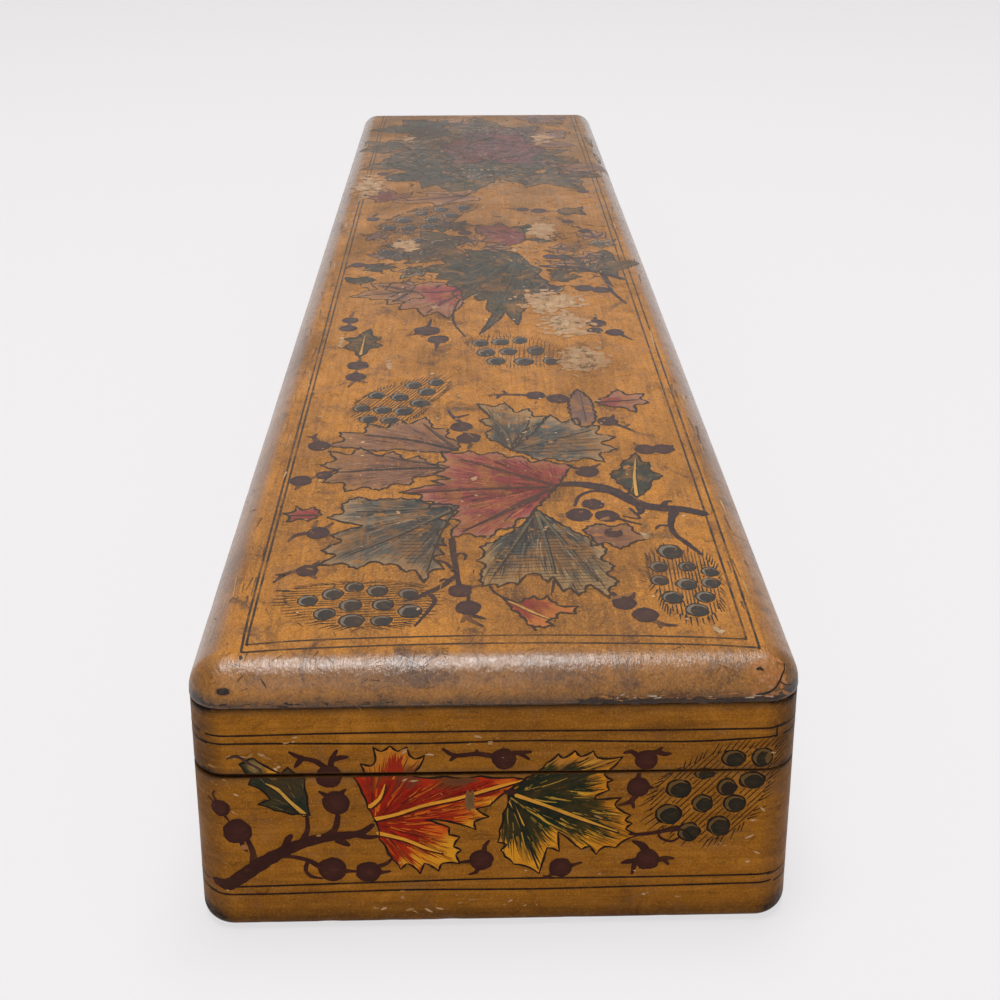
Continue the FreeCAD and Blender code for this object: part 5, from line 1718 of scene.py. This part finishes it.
for centre, radius, stems in (
    ((-31.2, 171.6), 1.9, [[(-33, 171), (-34, 169)]]),
    ((-27.6, 170.6), 1.9, [[(-25.6, 171), (-22, 172)]]), ((17.6, 177.4), 2.0, []),
    ((20.8, 177), 2.1, [[(22.6, 176), (25, 173)]]),
    ((16.2, 153.4), 2.2, [[(18, 154), (20, 155)]]),
    ((24.2, 153), 2.3, [[(22, 154), (21, 155)]]),
    ((28.2, 151.6), 2.2, [[(29.8, 151), (30.8, 150)]]),
    ((-4.2, 198.6), 2.0, [[(-4.6, 201), (-5.6, 205)]]),
    ((-5.4, 193.6), 2.2, [[(-3.4, 192), (-1, 190)]]),
    ((12.2, 221), 1.9, [[(10, 221.4), (7.4, 222)]]),
    ((16.7, 219.6), 2.3, [[(19, 219.2), (21.4, 219)]]),
    ((24.2, 208.6), 1.7, [[(21.6, 213), (23, 210)]]),
    ((28.2, 199.6), 1.9, [[(26.4, 204), (27.4, 201.6)]]),
    ((-30, 212), 1.9, [[(-30, 215), (-29, 218)]]),
    ((31, 240), 1.9, [[(30, 243), (28, 248)]]), ((28, 252), 2.0, []),
    ((-30, 262), 2.0, [[(-28, 264), (-25, 268)]]), ((26, 318), 2.2, []),
    ((-24, 322), 2.2, []),
):
    berry(top, centre, radius, stems, old_maroon, 0.9)
chance = random.Random(55)
for index in range(30):
    base = (chance.uniform(-30, 27), chance.uniform(258, 338))
    tones = chance.choice((grey_green, grey_green, dark_green, slate, mauve, rust))
    heading, size = chance.uniform(0, 360), chance.uniform(11, 19)
    maple(top, base, heading, size, tones, 600 + index, 30, chance.uniform(0.7, 1.1), 0.4)
for base, heading, size, tones, seed, streaks, slim in (
    ((-6, 291), 24, 21, purple, 640, 110, 1.2), ((16, 303), 196, 23, purple, 641, 110, 1.2),
    ((4, 279), 88, 34, purple, 642, 120, 0.8), ((-13, 326), 186, 24, dark_green, 643, 110, 1.0),
    ((-12, 262), 200, 20, dark_green, 644, 110, 1.0),
):
    maple(top, base, heading, size, tones, seed, streaks, slim, 0.34, 2.5)
for index in range(34):
    base = (chance.uniform(-29, 31), chance.uniform(146, 208))
    if -14 < base[0] < 15 and 150 < base[1] < 186:
        continue
    tones = chance.choice((grey_green, slate, rust, mauve, dark_green))
    heading, size = chance.uniform(0, 360), chance.uniform(5, 9)
    maple(top, base, heading, size, tones, 660 + index, 14, chance.uniform(0.6, 1.0), 0.3)
late_tints = (pigment(30, 34, 28), pigment(58, 34, 32), pigment(62, 48, 30), pigment(150, 112, 62), ink)
for index in range(400):
    if index < 180:
        spot = (chance.uniform(-31, 32), chance.uniform(246, 344))
    else:
        spot = (chance.uniform(-31, 33), chance.triangular(136, 228, 180))
    slant = chance.uniform(0, 6.28)
    long = chance.uniform(0.8, 4.0)
    tint = chance.choice(late_tints)
    bend = (spot[0] + long * 0.5 * math.cos(slant + 0.4), spot[1] + long * 0.5 * math.sin(slant + 0.4))
    tip = (spot[0] + long * math.cos(slant), spot[1] + long * math.sin(slant))
    stroke(top, [spot, bend, tip], [0.2, chance.uniform(0.3, 0.9), 0.15], tint, 5, 0.8)
for outline, beads, slope, seed, gap, hair in (
    ([(-28, 180), (-25, 192), (-18, 196), (-10, 194), (-8.6, 186), (-11, 179), (-18, 177)],
     [(-24.6, 182, 2.2, 2.3), (-22, 188, 2.2, 2.3), (-16.6, 192, 2.2, 2.3), (-11.6, 190, 2, 2.2),
      (-14.4, 181, 2, 2.2), (-19.6, 179.6, 2, 2.2)],
     1.2, 91, 0.8, 0.3),
    ([(-26.8, 200), (-27.5, 206), (-24, 214), (-18, 222), (-9, 227), (-2, 226), (-1.6, 222), (-6, 215),
      (-9, 207), (-14, 201), (-20, 198)],
     [(-25.2, 203.6, 2.2, 2.8), (-21.4, 210.8, 2.3, 2.9), (-17, 218, 2.2, 2.7), (-11.4, 221.4, 2.2, 2.6),
      (-5, 223.4, 2.1, 2.4), (-8.6, 215.4, 2.3, 2.8), (-13.4, 211.6, 2.2, 2.6), (-19.6, 203.4, 2.2, 2.6),
      (-14.6, 204.6, 2.1, 2.6)],
     1.0, 90, 0.8, 0.42),
):
    bramble(top, outline, beads, slope, seed, gap, hair, blue_black, grey_bloom)


def flaked(film, middle, reach, count, seed, tint, shade):
    """Paint and ground gone in flakes, down to the pale size: many in the middle, few at the edges."""
    chance = random.Random(seed)
    for index in range(count):
        off = (chance.gauss(0, 0.45), chance.gauss(0, 0.45))
        if math.hypot(*off) > 1.2:
            continue
        close = 1.0 - math.hypot(*off) / 1.3
        place = (middle[0] + off[0] * reach[0], middle[1] + off[1] * reach[1])
        wide = chance.uniform(0.3, 1.15) * (0.45 + close) * min(1.0, 0.15 + reach[0] / 4.0)
        high = wide * chance.uniform(0.6, 2.2)
        tone = blend(shade, tint, chance.uniform(0.25, 1.0) * (0.35 + 0.7 * close))
        blot(film, place, (wide, high), tone, 9, blend(tone, shade, 0.4), 0.26, chance.uniform(0, 3))


size_pale = pigment(192, 168, 130)
size_tan = pigment(164, 112, 60)
for middle, reach, count, seed in (
    ((16.6, 200.6), (4.4, 8.6), 90, 101), ((15.8, 144), (8.8, 8.0), 150, 102),
    ((18.4, 129), (6.6, 9.0), 130, 103), ((20.6, 108.8), (5.8, 8.8), 150, 104),
    ((-19.4, 188), (3.6, 5.6), 40, 105), ((-11, 140.6), (1.2, 1.8), 10, 106),
    ((8.6, 183), (1.0, 1.6), 5, 107), ((24.6, 35.2), (0.9, 1.2), 8, 108),
    ((8.8, 37.4), (0.4, 0.9), 4, 109), ((-31, 120), (0.8, 6.4), 26, 110),
    ((-20, 107), (1.0, 6.0), 26, 111), ((7, 73), (0.5, 1.6), 4, 112), ((-22, 56.4), (0.4, 1.8), 3, 113),
    ((-15, 43), (0.3, 1.4), 4, 114), ((-2.6, 55), (0.4, 3), 4, 115), ((-33.4, 246), (5.4, 15), 150, 116),
    ((22.6, 309), (4, 12), 40, 117), ((-24, 309), (2.4, 8), 20, 118), ((31.5, 8.4), (0.9, 1.6), 8, 119),
):
    flaked(top, middle, reach, count, seed, size_pale, size_tan)
for border, seed in ((-36.5, 1), (37.6, 2)):
    chance = random.Random(seed)
    for index in range(46):
        gone = chance.uniform(12, 335)
        place = (border + chance.uniform(-1.6, 1.6), gone)
        path = [place, (place[0] + chance.uniform(-0.5, 0.5), gone + chance.uniform(1.5, 7))]
        tint = pigment(92, 64, 34) if index % 3 else pigment(182, 142, 92)
        stroke(top, path, [0.1, chance.uniform(0.2, 0.5)], tint, 6)
for path in ([(37.2, 311), (38.2, 306), (38.8, 298)], [(38.4, 288), (39.2, 283), (39.4, 276)]):
    stroke(top, path, [0.8, 1.8, 0.6], pigment(46, 32, 24), 5)
for index in range(360):
    spot = (chance.uniform(-33, 34), chance.triangular(9, 300, 40))
    size = chance.uniform(0.07, 0.24) * (1.0 + spot[1] / 400.0)
    bright = blend(pigment(140, 96, 52), pigment(214, 186, 146), chance.random() ** 1.8)
    blot(top, spot, (size, size * chance.uniform(0.5, 1.8)), bright, 9, bright, 0.35, chance.uniform(0, 3))
for index in range(500):
    spot = (chance.uniform(-40, 40), chance.uniform(3, 344))
    long = chance.uniform(0.3, 1.8)
    slant = chance.choice((1.57, 1.57, 0.0)) + chance.gauss(0, 0.5)
    scratch(top, spot, long, slant, [0.06, chance.uniform(0.08, 0.26)], pigment(72, 44, 20), 5, 0.5)
worn_ochre = pigment(166, 106, 26)
top_film = film_finish("painting_on_the_top", top_streaks, 0.62, worn_ochre, 0.42, 0.9, 0.36, 0.22)
first_cut, second_cut = 104.0, 236.0
for name, low, high in (
    ("lid_top_painting_near", None, lambda across: first_cut),
    ("lid_top_painting_middle", lambda across: first_cut, lambda across: second_cut),
    ("lid_top_painting_far", lambda across: second_cut, None),
):
    new_piece(name, dry(top, name, top_place, 0.008, low, high), "lid", top_film)


# Wear along the roll and the crease. The near corners are cracked through to the wood, one nail has
# worked up through the paint, and the joint below the roll has opened into a ragged line, dark with
# dirt and with painted shade.
quarter_round = roll * math.pi / 2


def roll_place(run, lift, down_mm):
    """A point over the roll, down_mm along it from where it leaves the flat top."""
    turned = min(math.degrees(down_mm / roll), 90.0)
    spot, facing = around(run)
    reach = coat_radius + lift + unevenness(spot.x, spot.y, 40.0 - turned / 20.0)
    place = roll_point(run, turned, reach)
    place.z -= max(0.0, down_mm - quarter_round)
    return (place.x, place.y, place.z)


crease_down = quarter_round + 0.4
wear = new_film()
soot_and_shade = pigment(26, 18, 12)
flesh = pigment(178, 118, 60)
dusty = pigment(186, 166, 146)
upper, lower = [], []
for run in stations(0.35, 0.35, 1.2, 0.8):
    signed = from_middle(run)
    coarse = noise.noise(Vector((signed / 5.0, 3.0, 0.0)))
    fine = noise.noise(Vector((signed / 0.9, 7.0, 0.0)))
    bare = max(0.0, min((signed - 11) / 5.0, (41 - signed) / 3.0, 1.0))
    chipped = bare * (0.34 + 0.8 * max(0.0, fine + 0.15))
    top_edge = 0.1 + 0.12 * max(0.0, coarse) + 0.14 * abs(fine) + chipped
    low_edge = 0.12 + 0.12 * abs(coarse) + 0.12 * max(0.0, -fine) + 0.1 * bare
    upper.append((signed, crease_down - top_edge))
    lower.append((signed, crease_down + low_edge))
# A dark band along the crease: dirt in the opened joint, and painted shade of the groove.
first = marks(wear, upper, soot_and_shade, 1)
second = marks(wear, [(run, crease_down + 0.02) for run, down_mm in upper], soot_and_shade, 1)
for index in range(len(upper)):
    after = (index + 1) % len(upper)
    if abs(upper[index][0] - upper[after][0]) < 10:
        wear.faces.new((first[index], first[after], second[after], second[index]))
chance = random.Random(7)
for index in range(100):
    run = chance.uniform(12, 39)
    place = (run, crease_down - chance.uniform(0.05, 0.95) * chance.uniform(0.3, 1.0))
    radii = (chance.uniform(0.2, 1.1), chance.uniform(0.1, 0.32))
    tint = blend(soot_and_shade, pigment(84, 50, 26), chance.random())
    blot(wear, place, radii, tint, 3, soot_and_shade, 0.3, chance.uniform(-0.2, 0.2))
for index in range(60):
    run = chance.uniform(13, 38.5)
    down_mm = crease_down - chance.uniform(0.55, 1.3)
    tint = chance.choice((flesh, flesh, pigment(150, 96, 48), pigment(104, 62, 30), dusty))
    path = [(run, down_mm), (run + chance.uniform(0.3, 1.2), down_mm + chance.uniform(-0.2, 0.2))]
    stroke(wear, path, [0.1, chance.uniform(0.12, 0.3)], tint, 3, 0.3)
for index in range(60):
    run = chance.choice(
        (chance.uniform(-41, 41), chance.uniform(-41, 41), chance.uniform(41, whole_run - 41))
    )
    down_mm = crease_down - chance.uniform(0.2, 0.8)
    tint = chance.choice((soot_and_shade, soot_and_shade, pigment(88, 52, 26)))
    path = [(run, down_mm), (run + chance.uniform(0.3, 1.4), down_mm + chance.uniform(-0.15, 0.15))]
    stroke(wear, path, [0.1, chance.uniform(0.12, 0.3)], tint, 2, 0.3)
for index in range(46):
    place = (chance.gauss(37.4, 1.6), chance.gauss(5.0, 1.3))
    radii = (chance.uniform(0.3, 1.1), chance.uniform(0.2, 0.7))
    tint = blend(flesh, dusty, chance.uniform(0, 0.35))
    blot(wear, place, radii, tint, 2, pigment(160, 100, 48), 0.3, chance.uniform(0, 3))
for path, widths in (
    ([(41.0, 4.0), (40.2, 4.7), (39.4, 5.2), (38.6, 6.0), (37.6, 6.9), (36.4, 7.4), (35.2, 7.5)],
     [0.1, 0.24, 0.3, 0.26, 0.34, 0.4, 0.15]),
    ([(38.7, 5.9), (39.6, 6.6), (40.6, 7.0)], [0.2, 0.16, 0.08]),
    ([(35.5, 4.1), (36.0, 4.0), (36.4, 4.2)], [0.3, 0.5, 0.2]),
):
    stroke(wear, path, widths, soot_and_shade, 4, 0.3)
blot(wear, (-36.6, 6.1), (1.15, 0.62), pigment(150, 96, 50), 3, pigment(120, 76, 38), 0.1)
blot(wear, (-36.6, 6.1), (0.95, 0.46), pigment(34, 28, 26), 4, pigment(22, 17, 15), 0.1)
stroke(wear, [(-31.6, 4.5), (-31.2, 5.0), (-30.8, 5.7)], [0.08, 0.2, 0.08], soot_and_shade, 4, 0.3)
for index in range(150):
    run = chance.choice((chance.uniform(-40, 40), chance.uniform(-40, 40), chance.uniform(0, whole_run)))
    down_mm = chance.uniform(0.3, 8.0)
    tint = chance.choice(
        (pigment(150, 112, 72), pigment(92, 56, 26), pigment(70, 42, 22), pigment(120, 76, 34))
    )
    slant, long = chance.uniform(-1, 1), chance.uniform(0.3, 1.6)
    scratch(wear, (run, down_mm), long, slant, [0.05, chance.uniform(0.06, 0.16)], tint, 3, 0.4)
wear_film = film_finish(
    "worn_roll_and_shaded_crease", (13, 13, 0.8), 0.62, pigment(120, 74, 30), 0.3, 0.5, 0.3, 0.1,
)
wear_mesh = dry(wear, "lid_roll_wear", roll_place, 0.012)
new_piece("lid_roll_wear", wear_mesh, "lid", wear_film)


# The table the box stands on and the light round it: a plain pale sweep, one broad soft lamp overhead
# and a dimmer one beside the camera.
def plain_floor():
    """A matt white floor that gives off a little light of its own to the eye, and is greyer to the box."""
    finish, recipe, place = new_finish("pale_floor")
    tooth = mottle(recipe, place, (4, 4, 4), 2.0, 0.5)
    toothed_white = where_over(recipe, tooth, 0.3, 0.7)
    colour = glaze(recipe, toothed_white, pigment(236, 234, 235), pigment(240, 238, 239))
    paths = step(recipe, "ShaderNodeLightPath", {}).outputs
    seen = both(recipe, paths["Is Camera Ray"], paths["Is Glossy Ray"], "MAXIMUM")
    seen = both(recipe, seen, paths["Is Transmission Ray"], "MAXIMUM")
    lit = glaze(recipe, seen, colour, pigment(120, 119, 120))
    glow = step(recipe, "ShaderNodeMath", {0: seen, 1: 0.78}, operation="MULTIPLY").outputs[0]
    finish_off(recipe, {
        "Base Color": lit, "Roughness": 0.95, "Specular IOR Level": 0.0,
        "Emission Color": pigment(238, 236, 237), "Emission Strength": glow,
    })
    return finish


sweep = bmesh.new()
path = [(-2.6, 1.9), (-2.6, 0.5)]
path += [
    (-2.1 - 0.5 * math.cos(math.radians(angle)), 0.5 - 0.5 * math.sin(math.radians(angle)))
    for angle in range(15, 90, 15)
]
path += [(-2.1, 0.0), (3.0, 0.0)]
lines = [[sweep.verts.new((x, y, z - 0.0002)) for y in (-3.2, 3.2)] for x, z in path]
for before, after in zip(lines, lines[1:]):
    sweep.faces.new((before[0], before[1], after[1], after[0]))
floor = bpy.data.objects.new("floor", as_mesh("floor", sweep))
floor.data.materials.append(plain_floor())
bpy.context.scene.collection.objects.link(floor)


def lamp(name, power, size, place, aim):
    """A soft rectangular lamp turned towards a point."""
    light = bpy.data.lights.new(name, "AREA")
    light.shape = "RECTANGLE"
    light.size, light.size_y = size
    light.energy = power
    holder = bpy.data.objects.new(name, light)
    holder.location = place
    holder.rotation_euler = (Vector(aim) - Vector(place)).to_track_quat("-Z", "Y").to_euler()
    bpy.context.scene.collection.objects.link(holder)


lamp("overhead_softbox", 15.0, (0.44, 0.8), (0.1, -0.03, 1.3), (0.06, 0.0, 0.0))
lamp("front_softbox", 3.0, (0.9, 0.7), (1.5, -0.25, 0.75), (0.1, 0.0, 0.02))
world = bpy.data.worlds.new("studio")
world.use_nodes = True
world.node_tree.nodes["Background"].inputs["Color"].default_value = (0.86, 0.85, 0.86, 1.0)
world.node_tree.nodes["Background"].inputs["Strength"].default_value = 0.34
bpy.context.scene.world = world

bpy.context.scene.view_settings.view_transform = "Standard"
